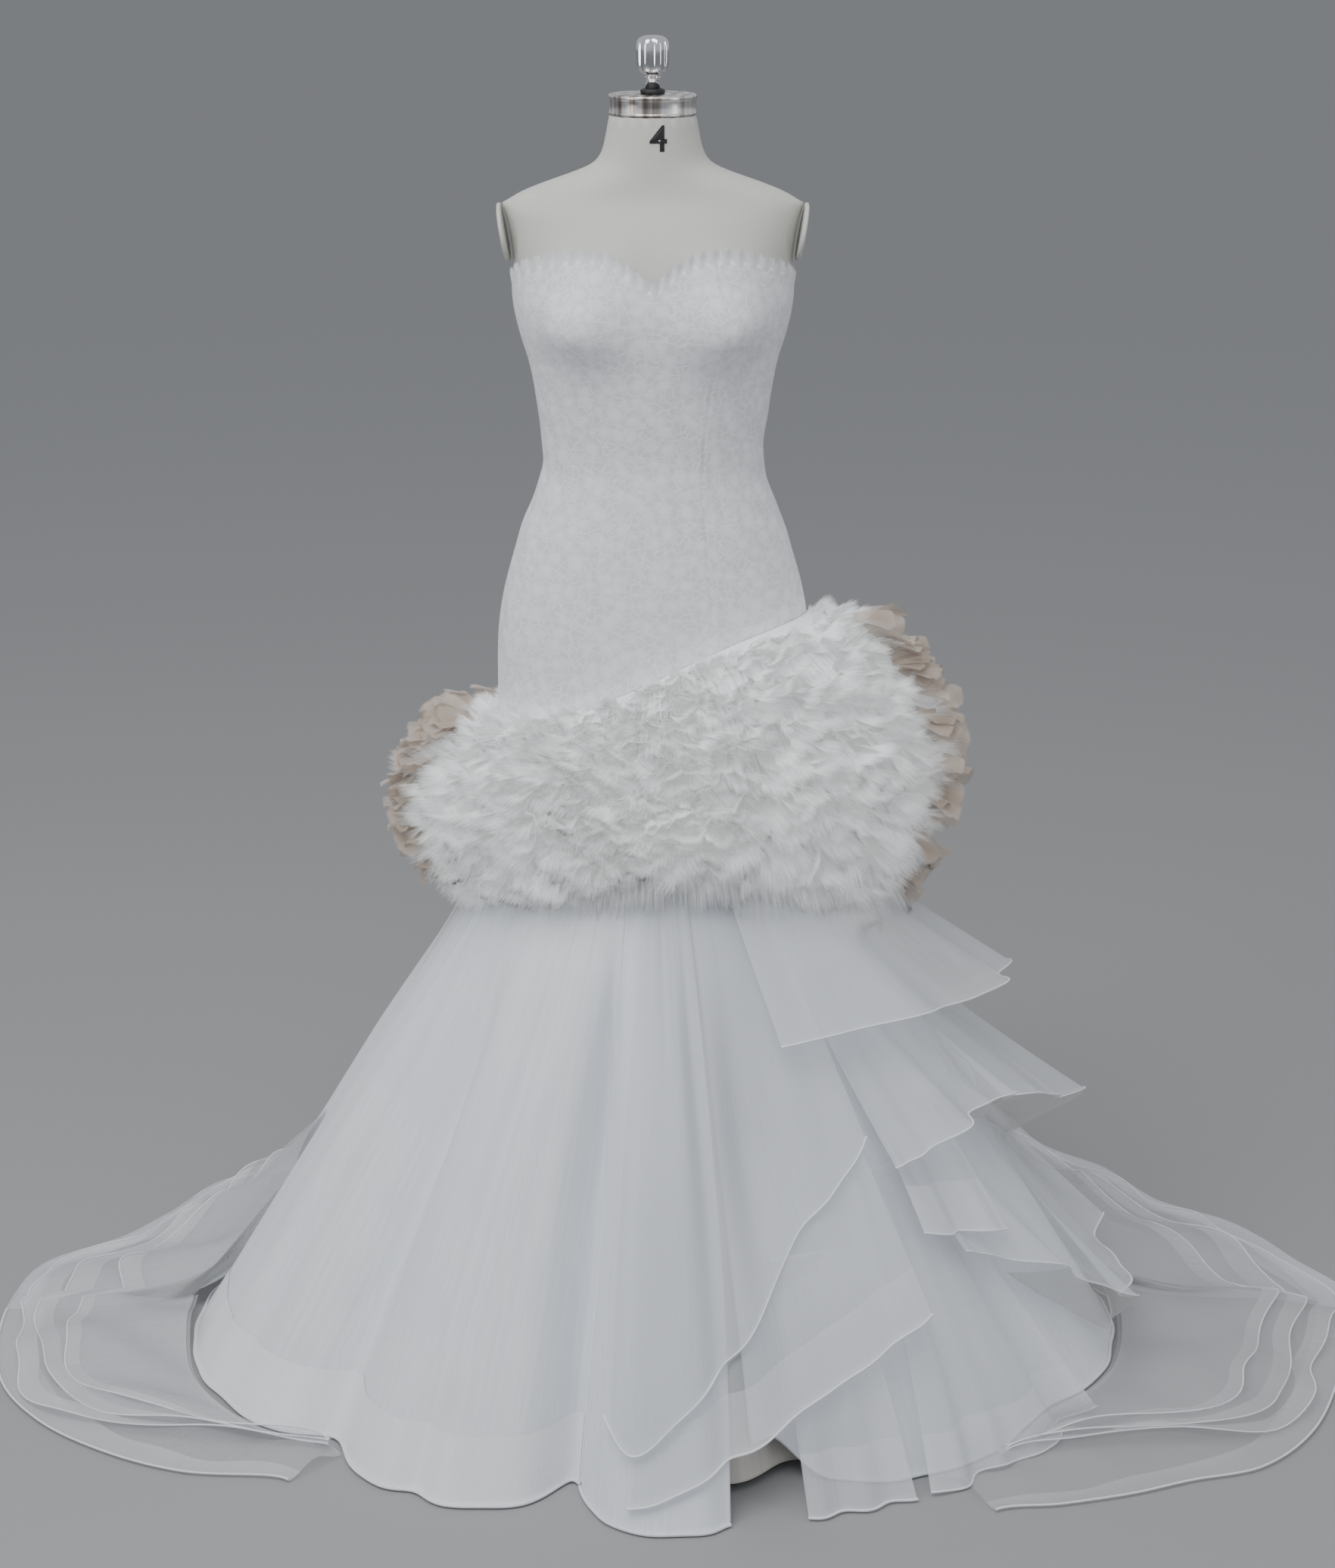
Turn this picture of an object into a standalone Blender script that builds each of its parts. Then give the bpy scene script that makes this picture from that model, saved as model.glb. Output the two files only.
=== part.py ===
# Mermaid gown on a limbless dress form.
# Metres, +Z up. The origin is the middle of the form's base, on the floor.
# The front of the gown faces -Y. A turn is an angle in degrees about the form's axis,
# 0 at the centre front and positive towards +X.

import math

import bmesh
import bpy
from mathutils import Vector
from mathutils.bvhtree import BVHTree

# Driving dimensions
SEAM_GAP = 0.0003
CLOTH = 0.0015
LACE_TRIM = 0.0010
LACE_GAP = 0.0008
BAND_CLOTH = 0.0012
FORM_CLEARANCE = 0.0008
BAND_GAP = 0.0005
SEAT = 0.0024
FAR_OUTSIDE = 2.0
WAIST_SEAM_HEIGHT = 0.600
FRILL_CLOTH = 0.0014
HEM_BAND_HEIGHT = 0.070
TURN_STEP = 9.0
FLOOR_CLEARANCE = 0.0006
BASE_HEIGHT = 0.022
POLE_RADIUS = 0.016
NECK_TOP = 1.433
KNOB_RADIUS = 0.0180
KNOB_FLUTES = 8
KNOB_FLUTE_DEPTH = 0.0022
TURNED_SIDES = 32
SMALL_TURNED_SIDES = 16
SECTION_POWER = 2.1
MOST_SLANT = 0.50

# Radii at which the gaps of the upright seams are measured
BODICE_SEAM_RADIUS = 0.12
FRILL_SEAM_RADIUS = 0.18
SKIRT_SEAM_RADIUS = 0.19
NECKLINE_SEAM_RADIUS = 0.05

# Turned pieces of the form, each stacked on the one before
# Columns: radius, height above the piece's own foot
CAP_PROFILE = (
    (0.0470, 0.0000),
    (0.0475, 0.0007),
    (0.0475, 0.0190),
    (0.0455, 0.0215),
    (0.0425, 0.0220),
)
RING_PROFILE = (
    (0.0130, 0.0000),
    (0.0135, 0.0027),
    (0.0105, 0.0050),
)
KNOB_PROFILE = (
    (0.0085, 0.0000),
    (0.0085, 0.0124),
    (0.0125, 0.0164),
    (0.0180, 0.0284),
    (0.0180, 0.0424),
    (0.0120, 0.0539),
    (0.0060, 0.0554),
)
BASE_PROFILE = (
    (0.190, 0.000),
    (0.190, 0.010),
    (0.184, 0.016),
    (0.060, 0.019),
    (0.040, 0.022),
)

# Plates over the cut ends of the shoulders
ARM_PLATE_TOP_SIDE = 0.1662
ARM_PLATE_TOP_HEIGHT = 1.340
ARM_PLATE_FOOT_SIDE = 0.1556
ARM_PLATE_FOOT_HEIGHT = 1.277
ARM_PLATE_HALF_DEPTH = 0.042
ARM_PLATE_SIDES = 20
# Columns: distance out from the shoulder, share of the full oval
ARM_PLATE_STEPS = (
    (0.000, 0.96),
    (0.001, 1.00),
    (0.004, 1.00),
    (0.005, 0.94),
)

# Horizontal sections through the outside of the gown
# Columns: height, side, front, back
SECTIONS = (
    (0.000, 0.555, 0.480, 0.530),
    (0.100, 0.492, 0.432, 0.475),
    (0.200, 0.430, 0.378, 0.415),
    (0.300, 0.368, 0.322, 0.352),
    (0.400, 0.306, 0.265, 0.290),
    (0.500, 0.245, 0.208, 0.228),
    (0.550, 0.215, 0.178, 0.195),
    (0.600, 0.195, 0.152, 0.168),
    (0.660, 0.183, 0.133, 0.148),
    (0.743, 0.178, 0.119, 0.130),
    (0.850, 0.1765, 0.113, 0.126),
    (0.905, 0.169, 0.108, 0.120),
    (0.975, 0.1495, 0.100, 0.103),
    (1.027, 0.129, 0.093, 0.088),
    (1.063, 0.1225, 0.090, 0.082),
    (1.110, 0.127, 0.094, 0.083),
    (1.164, 0.136, 0.101, 0.086),
    (1.200, 0.1465, 0.106, 0.089),
    (1.231, 0.1530, 0.107, 0.090),
    (1.262, 0.1545, 0.103, 0.088),
    (1.300, 0.1560, 0.096, 0.085),
)

# Sections of the form above the gown
# Columns: height, side, front, back
FORM_SECTIONS = (
    (1.305, 0.1575, 0.0830, 0.0810),
    (1.326, 0.1630, 0.0690, 0.0740),
    (1.340, 0.1650, 0.0590, 0.0640),
    (1.351, 0.1500, 0.0540, 0.0590),
    (1.364, 0.1130, 0.0520, 0.0550),
    (1.377, 0.0720, 0.0510, 0.0530),
    (1.388, 0.0560, 0.0500, 0.0510),
    (1.433, 0.0470, 0.0470, 0.0470),
)

# Bust cups
CUP_TURN = 38.0
CUP_HEIGHT = 1.212
CUP_DEPTH = 0.027
CUP_TURN_SPREAD = 19.0
CUP_SPREAD_ABOVE = 0.050
CUP_SPREAD_BELOW = 0.033

# Folds of the skirt: a negative depth is a valley, a positive one is a ridge
# Columns: turn at top, turn at hem, depth at hem, spread
FOLDS = (
    (-74.0, -70.0, 0.014, 11.0),
    (-54.0, -47.0, -0.034, 6.5),
    (-32.0, -29.0, 0.016, 11.0),
    (-14.0, -11.0, -0.050, 5.0),
    (28.0, 22.0, -0.052, 9.0),
    (42.0, 40.0, -0.006, 8.0),
    (58.0, 58.0, -0.022, 7.0),
    (76.0, 76.0, 0.008, 8.0),
    (98.0, 100.0, -0.020, 7.0),
    (-97.0, -101.0, -0.022, 7.0),
    (-116.0, -119.0, 0.018, 8.0),
    (-133.0, -137.0, -0.028, 7.0),
    (-150.0, -153.0, 0.020, 8.0),
    (-166.0, -168.0, -0.024, 6.0),
    (116.0, 118.0, 0.004, 8.0),
    (132.0, 134.0, -0.028, 7.0),
    (148.0, 150.0, 0.022, 8.0),
    (165.0, 167.0, -0.024, 6.0),
)
FOLD_TOP = 0.570
FOLD_FULL = 0.300

# Neckline and bodice seams
# Columns: turn, height
NECKLINE = (
    (-180.0, 1.214),
    (-150.0, 1.218),
    (-120.0, 1.236),
    (-88.0, 1.259),
    (-66.0, 1.280),
    (-44.0, 1.292),
    (-26.0, 1.289),
    (-12.0, 1.275),
    (0.0, 1.261),
    (12.0, 1.275),
    (26.0, 1.289),
    (44.0, 1.292),
    (66.0, 1.280),
    (88.0, 1.259),
    (120.0, 1.236),
    (150.0, 1.218),
    (180.0, 1.214),
)
LACE_RISE = 0.010
LACE_DEPTH = 0.015
LACE_DIP = 0.25
LACE_STEPS_A_STRIP = 2

# Columns: name, first turn, last turn
BODICE_PANELS = (
    ("bodice_centre_front", -36.0, 36.0),
    ("bodice_side_front_right", 36.0, 90.0),
    ("bodice_side_front_left", -90.0, -36.0),
    ("bodice_side_back_right", 90.0, 135.0),
    ("bodice_side_back_left", -135.0, -90.0),
    ("bodice_back_right", 135.0, 180.0),
    ("bodice_back_left", -180.0, -135.0),
)
# Heights of the bodice's level rows, which the form under it shares
BODICE_LEVELS = (0.600, 0.680, 0.770, 0.860, 0.930, 0.985, 1.027, 1.063, 1.115, 1.160, 1.195)

TOP_LEVEL = len(BODICE_LEVELS) + 2

# Frill band: where it starts and ends, and how far it stands out from the body
# Columns: turn, upper edge, lower edge, stand out
FRILL_PATH = (
    (-180.0, 0.780, 0.545, 0.105),
    (-140.0, 0.765, 0.550, 0.105),
    (-105.0, 0.765, 0.562, 0.110),
    (-85.0, 0.770, 0.575, 0.108),
    (-62.0, 0.780, 0.595, 0.085),
    (-32.0, 0.803, 0.595, 0.062),
    (0.0, 0.833, 0.602, 0.066),
    (30.0, 0.862, 0.596, 0.078),
    (52.0, 0.880, 0.575, 0.110),
    (72.0, 0.890, 0.545, 0.150),
    (90.0, 0.888, 0.525, 0.165),
    (110.0, 0.870, 0.525, 0.150),
    (145.0, 0.820, 0.535, 0.115),
    (180.0, 0.780, 0.545, 0.105),
)
# Columns: name, sewn at, hem at, reach
TIERS = (
    ("frill_tier_1", 0.02, 0.20, 0.62),
    ("frill_tier_2", 0.11, 0.37, 0.84),
    ("frill_tier_3", 0.21, 0.54, 1.00),
    ("frill_tier_4", 0.32, 0.70, 1.04),
    ("frill_tier_5", 0.44, 0.86, 1.00),
    ("frill_tier_6", 0.57, 1.00, 0.86),
)
WAVES_A_TIER = 13
WAVE_HEIGHT = 0.0080
WAVE_STEPS = 4
WAVE_SHIFT = 0.035
WAVE_SWELLS = 3.0
WAVE_SWELL = 0.35
WAVE_SWELL_START = 40.0
TIER_SEAT = 0.0006
TIER_BELLY_OUT = 0.50
TIER_BELLY_DOWN = 0.38
TIER_BELLY_WAVE = 0.3

# Centre front tube, measured out from the skirt's section at the hem
# Columns: turn, out above, out below
TUBE = (
    (-10.5, -0.040, -0.045),
    (-8.0, -0.004, -0.010),
    (-5.5, 0.022, 0.020),
    (-2.0, 0.030, 0.035),
    (4.0, 0.034, 0.040),
    (9.5, 0.030, 0.040),
    (14.0, 0.010, 0.037),
    (19.0, -0.014, 0.035),
    (25.0, -0.010, 0.036),
    (32.0, 0.008, 0.040),
    (41.0, 0.020, 0.040),
    (50.0, 0.022, 0.030),
)
TUBE_LOW = 0.160
TUBE_HIGH = 0.360
TUBE_LAST_TURN_TOP = 14.0
TUBE_LAST_TURN_HEM = 9.5
LAYER_STEP = 0.0060
LAYER_STEP_FULL = 0.540
FIRST_LAYER_STEPS = 2.15

# Hems of the two long layers over the centre front
# Columns: turn, hem height
FIRST_LAYER_HEM = (
    (-6.5, 0.105),
    (-2.5, 0.080),
    (3.0, 0.112),
    (9.0, 0.152),
    (18.0, 0.219),
    (25.0, 0.267),
    (34.0, 0.305),
    (42.0, 0.345),
)
SECOND_LAYER_HEM = (
    (-3.0, 0.026),
    (1.0, 0.036),
    (10.4, 0.070),
    (21.0, 0.115),
    (33.0, 0.154),
    (41.0, 0.174),
)
LAYER_TOP = 0.598

# Flounces that cascade down the right: each row is a station along the flounce
# Columns: top turn, hem turn, hem radius, hem height
FLOUNCES = {
    "flounce_1": (
        (28.0, 29.0, 0.284, 0.448),
        (40.0, 41.0, 0.330, 0.466),
        (52.0, 54.0, 0.372, 0.476),
        (64.0, 67.0, 0.396, 0.468),
        (76.0, 80.0, 0.414, 0.458),
        (87.0, 91.0, 0.417, 0.447),
        (98.0, 100.0, 0.398, 0.420),
        (109.0, 111.0, 0.376, 0.404),
        (121.0, 124.0, 0.380, 0.418),
        (134.0, 138.0, 0.362, 0.432),
        (146.0, 150.0, 0.318, 0.440),
    ),
    "flounce_2": (
        (44.5, 43.5, 0.380, 0.314),
        (50.0, 49.0, 0.414, 0.334),
        (57.0, 57.0, 0.426, 0.358),
        (66.0, 66.0, 0.434, 0.356),
        (74.0, 73.0, 0.446, 0.338),
        (82.0, 84.0, 0.486, 0.300),
        (92.0, 95.0, 0.512, 0.262),
        (102.0, 105.0, 0.498, 0.222),
        (112.0, 115.0, 0.468, 0.205),
        (124.0, 127.0, 0.452, 0.226),
        (136.0, 139.0, 0.414, 0.246),
    ),
    "flounce_3": (
        (47.0, 45.5, 0.418, 0.243),
        (50.5, 49.0, 0.438, 0.238),
        (54.0, 52.5, 0.436, 0.232),
        (57.5, 56.0, 0.456, 0.226),
        (61.0, 59.5, 0.470, 0.220),
    ),
    "flounce_4": (
        (52.0, 51.0, 0.440, 0.212),
        (57.0, 56.5, 0.466, 0.196),
        (62.0, 62.5, 0.512, 0.172),
        (67.0, 68.5, 0.556, 0.132),
        (72.0, 73.0, 0.582, 0.096),
        (78.0, 79.0, 0.574, 0.080),
        (84.0, 86.0, 0.556, 0.084),
        (92.0, 94.0, 0.548, 0.098),
    ),
    "flounce_5": (
        (42.0, 34.5, 0.528, 0.0030),
        (44.0, 39.0, 0.548, 0.0030),
        (46.5, 43.5, 0.534, 0.0030),
        (49.0, 48.0, 0.554, 0.0030),
        (51.5, 52.5, 0.562, 0.0030),
        (54.0, 57.5, 0.548, 0.0030),
        (57.0, 63.0, 0.566, 0.0030),
    ),
}
# Columns: name, top height, seat, belly, strips, rows
FLOUNCE_SETTINGS = (
    ("flounce_1", 0.599, 0.0078, 0.95, 20, 4),
    ("flounce_2", 0.500, 0.0031, 1.10, 20, 4),
    ("flounce_3", 0.420, 0.0028, 0.80, 8, 3),
    ("flounce_4", 0.340, 0.0032, 1.10, 16, 4),
    ("flounce_5", 0.300, 0.0027, 0.92, 14, 4),
)

# Layer that hangs to the floor between the centre front and the last flounce
THIRD_LAYER_FIRST_TURN = 19.0
THIRD_LAYER_LAST_TURN = 32.5
THIRD_LAYER_TOP = 0.250
THIRD_LAYER_OUT_TOP = 0.012
THIRD_LAYER_OUT_HEM = 0.027
THIRD_LAYER_WAVE = 0.004
THIRD_LAYER_SEAT = 0.0009
THIRD_LAYER_WAVE_TURN = 6.0

# Lining, seen in the opening beside the centre front tube
LINING_FIRST_TURN = 6.0
LINING_LAST_TURN = 34.0
LINING_HEM = 0.010
LINING_TOP = 0.598
LINING_INSET = 0.020
LINING_INSET_FULL = 0.500
OPENING_HEM_RISE = 0.055
OPENING_HEM_TURN = 26.0
OPENING_HEM_SPREAD = 10.0

# Strips across and rows down each panel
SKIRT_LEFT_STRIPS = 21
SKIRT_RIGHT_STRIPS = 14
SKIRT_ROWS = 7
TUBE_STRIPS = 11
LINING_STRIPS = 8
LINING_ROWS = 5
FIRST_LAYER_STRIPS = 18
FIRST_LAYER_ROWS = 5
SECOND_LAYER_STRIPS = 16
SECOND_LAYER_ROWS = 6
THIRD_LAYER_STRIPS = 10
THIRD_LAYER_ROWS = 4
BACK_STRIPS = 22
BACK_SLOPE_ROWS = 4
BACK_FLOOR_ROWS = 6
TRAIN_SIDE_ROWS = 5
TRAIN_LEFT_STRIPS = 11
TRAIN_RIGHT_STRIPS = 10

# Plan outline of the train on the floor
# Columns: turn, radius
TRAIN_OUTLINE = (
    (-180.0, 0.860),
    (-166.0, 0.845),
    (-153.0, 0.800),
    (-143.0, 0.724),
    (-134.0, 0.642),
    (-126.0, 0.622),
    (-119.0, 0.668),
    (-110.0, 0.678),
    (-103.0, 0.708),
    (-97.0, 0.775),
    (-91.0, 0.792),
    (-84.0, 0.796),
    (-75.0, 0.788),
    (-68.0, 0.760),
    (-61.0, 0.716),
    (-53.0, 0.656),
    (-44.0, 0.575),
    (38.0, 0.600),
    (44.0, 0.640),
    (50.0, 0.684),
    (55.0, 0.722),
    (60.0, 0.776),
    (67.0, 0.808),
    (78.0, 0.828),
    (90.0, 0.862),
    (97.0, 0.818),
    (105.0, 0.778),
    (112.0, 0.716),
    (121.0, 0.710),
    (129.0, 0.690),
    (137.0, 0.728),
    (146.0, 0.786),
    (156.0, 0.826),
    (168.0, 0.850),
    (180.0, 0.860),
)
TRAIN_SEAM_TURN = 88.0
TRAIN_BREAK = 0.200
TRAIN_SLOPE = 1.62
TRAIN_RIPPLES = 26.0
TRAIN_RIPPLE_HEIGHT = 0.018
RIPPLE_RISE = 3.0
RIPPLE_FALL = 2.5
RIPPLE_AT_EDGE = 0.25
TRAIN_ROW_POWER = 1.35
TRAIN_FOLD_FADE = 1.6
TRAIN_CLEAR_SPREAD = 6.0
TRAIN_SEAM_DROP = 0.9
TRAIN_SEAM_SPREAD = 11.0
TRAIN_SIDE_LEFT_TURN = -44.0
TRAIN_SIDE_RIGHT_TURN = 38.0
TRAIN_SIDE_GAP = 0.0035
TRAIN_RIGHT_CLEAR_TURN = 65.0
TRAIN_SIDE_START_RIGHT = 0.575
TRAIN_SIDE_LIFT = 0.012
TRAIN_SIDE_LIFT_TURN = 72.0


def remove_everything():
    for thing in list(bpy.data.objects):
        bpy.data.objects.remove(thing, do_unlink=True)


def make_material(name, colour, roughness, metallic=0.0):
    material = bpy.data.materials.new(name)
    material.use_nodes = True
    shader = material.node_tree.nodes["Principled BSDF"]
    shader.inputs["Base Color"].default_value = (*colour, 1.0)
    shader.inputs["Roughness"].default_value = roughness
    shader.inputs["Metallic"].default_value = metallic
    return material


def add_object(name, mesh_builder, material):
    mesh = bpy.data.meshes.new(name)
    bmesh.ops.recalc_face_normals(mesh_builder, faces=mesh_builder.faces)
    mesh_builder.to_mesh(mesh)
    mesh_builder.free()
    mesh.materials.append(material)
    thing = bpy.data.objects.new(name, mesh)
    bpy.context.scene.collection.objects.link(thing)
    return thing


def smooth_value(table, place, column):
    """Catmull-Rom curve through one column of a table whose first column rises."""
    last = len(table) - 1
    if place <= table[0][0]:
        return table[0][column]
    if place >= table[last][0]:
        return table[last][column]
    row = 0
    while table[row + 1][0] < place:
        row += 1
    before = table[max(row - 1, 0)]
    start = table[row]
    end = table[row + 1]
    after = table[min(row + 2, last)]
    span = end[0] - start[0]
    along = (place - start[0]) / span
    slope_start = (end[column] - before[column]) / (end[0] - before[0]) * span
    slope_end = (after[column] - start[column]) / (after[0] - start[0]) * span
    square = along * along
    cube = square * along
    return (
        (2.0 * cube - 3.0 * square + 1.0) * start[column]
        + (cube - 2.0 * square + along) * slope_start
        + (3.0 * square - 2.0 * cube) * end[column]
        + (cube - square) * slope_end
    )


def ease(value):
    value = min(1.0, max(0.0, value))
    return value * value * (3.0 - 2.0 * value)


def bell(distance, spread):
    return math.exp(-((distance / spread) ** 2))


def around(turn, radius, height):
    angle = math.radians(turn)
    return Vector((radius * math.sin(angle), -radius * math.cos(angle), height))


def section_radius(turn, side, front, back):
    angle = math.radians(turn)
    depth = front if math.cos(angle) > 0.0 else back
    across = abs(math.sin(angle) / side) ** SECTION_POWER
    along = abs(math.cos(angle) / depth) ** SECTION_POWER
    return (across + along) ** (-1.0 / SECTION_POWER)


def cup_depth(turn, height):
    spread = CUP_SPREAD_ABOVE if height > CUP_HEIGHT else CUP_SPREAD_BELOW
    level = bell(height - CUP_HEIGHT, spread)
    left = bell(turn + CUP_TURN, CUP_TURN_SPREAD)
    right = bell(turn - CUP_TURN, CUP_TURN_SPREAD)
    return CUP_DEPTH * level * (left + right)


def plain_radius(turn, height):
    """Outside of the gown with no skirt folds."""
    side = smooth_value(SECTIONS, height, 1)
    front = smooth_value(SECTIONS, height, 2)
    back = smooth_value(SECTIONS, height, 3)
    return section_radius(turn, side, front, back) + cup_depth(turn, height)


def fold_growth(height):
    return ease((FOLD_TOP - height) / (FOLD_TOP - FOLD_FULL))


def turn_distance(turn, other):
    return (turn - other + 180.0) % 360.0 - 180.0


def fold_depth(turn, height):
    growth = fold_growth(height)
    if growth == 0.0:
        return 0.0
    along = (FOLD_TOP - height) / FOLD_TOP
    depth = 0.0
    for top_turn, hem_turn, hem_depth, spread in FOLDS:
        centre = top_turn + (hem_turn - top_turn) * along
        depth += hem_depth * bell(turn_distance(turn, centre), spread)
    return depth * growth


def skirt_radius(turn, height):
    return plain_radius(turn, height) + fold_depth(turn, height)


def tube_radius(turn, height):
    above = smooth_value(TUBE, turn, 1)
    below = smooth_value(TUBE, turn, 2)
    low = ease((TUBE_HIGH - height) / (TUBE_HIGH - TUBE_LOW))
    out = above + (below - above) * low
    return plain_radius(turn, height) + out * fold_growth(height)


def turned(columns, first, last):
    return [first + (last - first) * step / columns for step in range(columns + 1)]


def grid_normals(points):
    """Normals of a grid whose rows run down and whose columns turn towards +X."""
    rows = len(points)
    columns = len(points[0])
    normals = []
    for row in range(rows):
        line = []
        for column in range(columns):
            above = points[max(row - 1, 0)][column]
            below = points[min(row + 1, rows - 1)][column]
            left = points[row][max(column - 1, 0)]
            right = points[row][min(column + 1, columns - 1)]
            line.append((below - above).cross(right - left).normalized())
        normals.append(line)
    return normals


def inward(point, normal, thickness):
    """Step into the wall without leaving the upright plane through the form's axis."""
    sideways = Vector((-point.y, point.x, 0.0)).normalized()
    within = normal - sideways * normal.dot(sideways)
    within.normalize()
    stretch = 1.0 / max(normal.dot(within), MOST_SLANT)
    return within * thickness * stretch


def half_seam(radius):
    """Half of a seam's gap, as a turn at that radius."""
    return math.degrees(SEAM_GAP / 2.0 / radius)


def moved_out(points, distance):
    normals = grid_normals(points)
    return [[point + inward(point, normal, distance) for point, normal in zip(line, normal_line)]
            for line, normal_line in zip(points, normals)]


def surface_tree(grids):
    """The flat faces of some grids, on which other pieces are seated."""
    corners = []
    triangles = []
    for points in grids:
        width = len(points[0])
        for row in range(len(points) - 1):
            for column in range(width - 1):
                corner = len(corners) + row * width + column
                triangles.append((corner, corner + width, corner + width + 1))
                triangles.append((corner, corner + width + 1, corner + 1))
        corners += [point for line in points for point in line]
    return BVHTree.FromPolygons(corners, triangles)


def surface_radius(tree, turn, height):
    hit = tree.ray_cast(around(turn, FAR_OUTSIDE, height), around(turn, -1.0, 0.0))[0]
    return math.hypot(hit.x, hit.y)


def add_square(mesh_builder, upper_left, upper_right, lower_left, lower_right, flip):
    """Two triangles on the same diagonal everywhere, so that walls nest."""
    for corners in ((upper_left, lower_left, lower_right), (upper_left, lower_right, upper_right)):
        mesh_builder.faces.new(tuple(reversed(corners)) if flip else corners)


def cloth_wall(name, points, thickness, material, level_edges=False):
    """A closed wall whose outer side is the grid of points."""
    normals = grid_normals(points)
    rows = len(points)
    columns = len(points[0])
    mesh_builder = bmesh.new()
    outer = [[mesh_builder.verts.new(point) for point in line] for line in points]
    inner = []
    for row in range(rows):
        line = []
        for column in range(columns):
            start = points[row][column]
            point = start - inward(start, normals[row][column], thickness)
            if level_edges and row in (0, rows - 1):
                point.z = start.z
            point.z = max(point.z, FLOOR_CLEARANCE)
            line.append(mesh_builder.verts.new(point))
        inner.append(line)
    for row in range(rows - 1):
        for column in range(columns - 1):
            beside = column + 1
            below = row + 1
            for side, flip in ((outer, False), (inner, True)):
                add_square(mesh_builder, side[row][column], side[row][beside],
                           side[below][column], side[below][beside], flip)
    for column in range(columns - 1):
        for row in (0, rows - 1):
            mesh_builder.faces.new((outer[row][column], outer[row][column + 1],
                                    inner[row][column + 1], inner[row][column]))
    for row in range(rows - 1):
        for column in (0, columns - 1):
            mesh_builder.faces.new((outer[row][column], outer[row + 1][column],
                                    inner[row + 1][column], inner[row][column]))
    return add_object(name, mesh_builder, material)


def ring_solid(name, rings, material):
    """A closed solid through a stack of rings, lowest first."""
    mesh_builder = bmesh.new()
    made = [[mesh_builder.verts.new(point) for point in ring] for ring in rings]
    count = len(rings[0])
    for lower, upper in zip(made, made[1:]):
        for step in range(count):
            beside = (step + 1) % count
            add_square(mesh_builder, upper[step], upper[beside], lower[step], lower[beside], False)
    mesh_builder.faces.new(list(reversed(made[0])))
    mesh_builder.faces.new(made[-1])
    return add_object(name, mesh_builder, material)


def turned_solid(name, profile, foot, sides, material, flutes=0):
    rings = []
    for radius, height in profile:
        ring = []
        for step in range(sides):
            turn = 360.0 * step / sides
            dip = 0.0
            if flutes:
                dip = KNOB_FLUTE_DEPTH * (0.5 - 0.5 * math.cos(math.radians(turn * flutes)))
            ring.append(around(turn, radius - dip * radius / KNOB_RADIUS, foot + height))
        rings.append(ring)
    return ring_solid(name, rings, material)


def bodice_point(turn, level):
    """Level counts rows up from the bodice's foot; the last two follow the neckline."""
    last = len(BODICE_LEVELS) - 1
    neckline = smooth_value(NECKLINE, turn, 1)
    lace_line = neckline - LACE_DEPTH
    if level <= last:
        height = min(BODICE_LEVELS[level], lace_line)
    elif level == last + 1:
        height = (BODICE_LEVELS[last] + lace_line) / 2.0
    elif level == last + 2:
        height = lace_line
    else:
        height = neckline
    if level == 0:
        height += SEAM_GAP
    return around(turn, plain_radius(turn, height), height)


def build_form(linen, nickel, chrome, painted, rubber):
    sides = round(360.0 / TURN_STEP)
    around_turns = turned(sides, -180.0, 180.0)
    covered = [[bodice_point(turn, level) for turn in around_turns]
               for level in range(TOP_LEVEL, 0, -1)]
    covered = moved_out(covered, -CLOTH - FORM_CLEARANCE)
    rings = [ring[:-1] for ring in reversed(covered)]
    for height, side, front, back in FORM_SECTIONS:
        ring = []
        for turn in around_turns[:-1]:
            radius = section_radius(turn, side, front, back)
            ring.append(around(turn, radius, height))
        rings.append(ring)
    ring_solid("form_torso", rings, linen)
    torso_bottom = min(point.z for point in rings[0])

    cap_foot = NECK_TOP + SEAM_GAP
    ring_foot = cap_foot + CAP_PROFILE[-1][1] + SEAM_GAP
    knob_foot = ring_foot + RING_PROFILE[-1][1] + SEAM_GAP
    turned_solid("form_neck_cap", CAP_PROFILE, cap_foot, TURNED_SIDES, nickel)
    turned_solid("form_knob_ring", RING_PROFILE, ring_foot, SMALL_TURNED_SIDES, rubber)
    turned_solid("form_knob", KNOB_PROFILE, knob_foot, TURNED_SIDES, chrome, KNOB_FLUTES)
    build_arm_plate("form_arm_plate_right", 1.0, linen)
    build_arm_plate("form_arm_plate_left", -1.0, linen)

    pole_foot = BASE_HEIGHT + SEAM_GAP
    pole_profile = ((POLE_RADIUS, 0.0), (POLE_RADIUS, torso_bottom - SEAM_GAP - pole_foot))
    turned_solid("form_pole", pole_profile, pole_foot, SMALL_TURNED_SIDES, painted)
    turned_solid("form_base", BASE_PROFILE, 0.0, TURNED_SIDES, painted)


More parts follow.
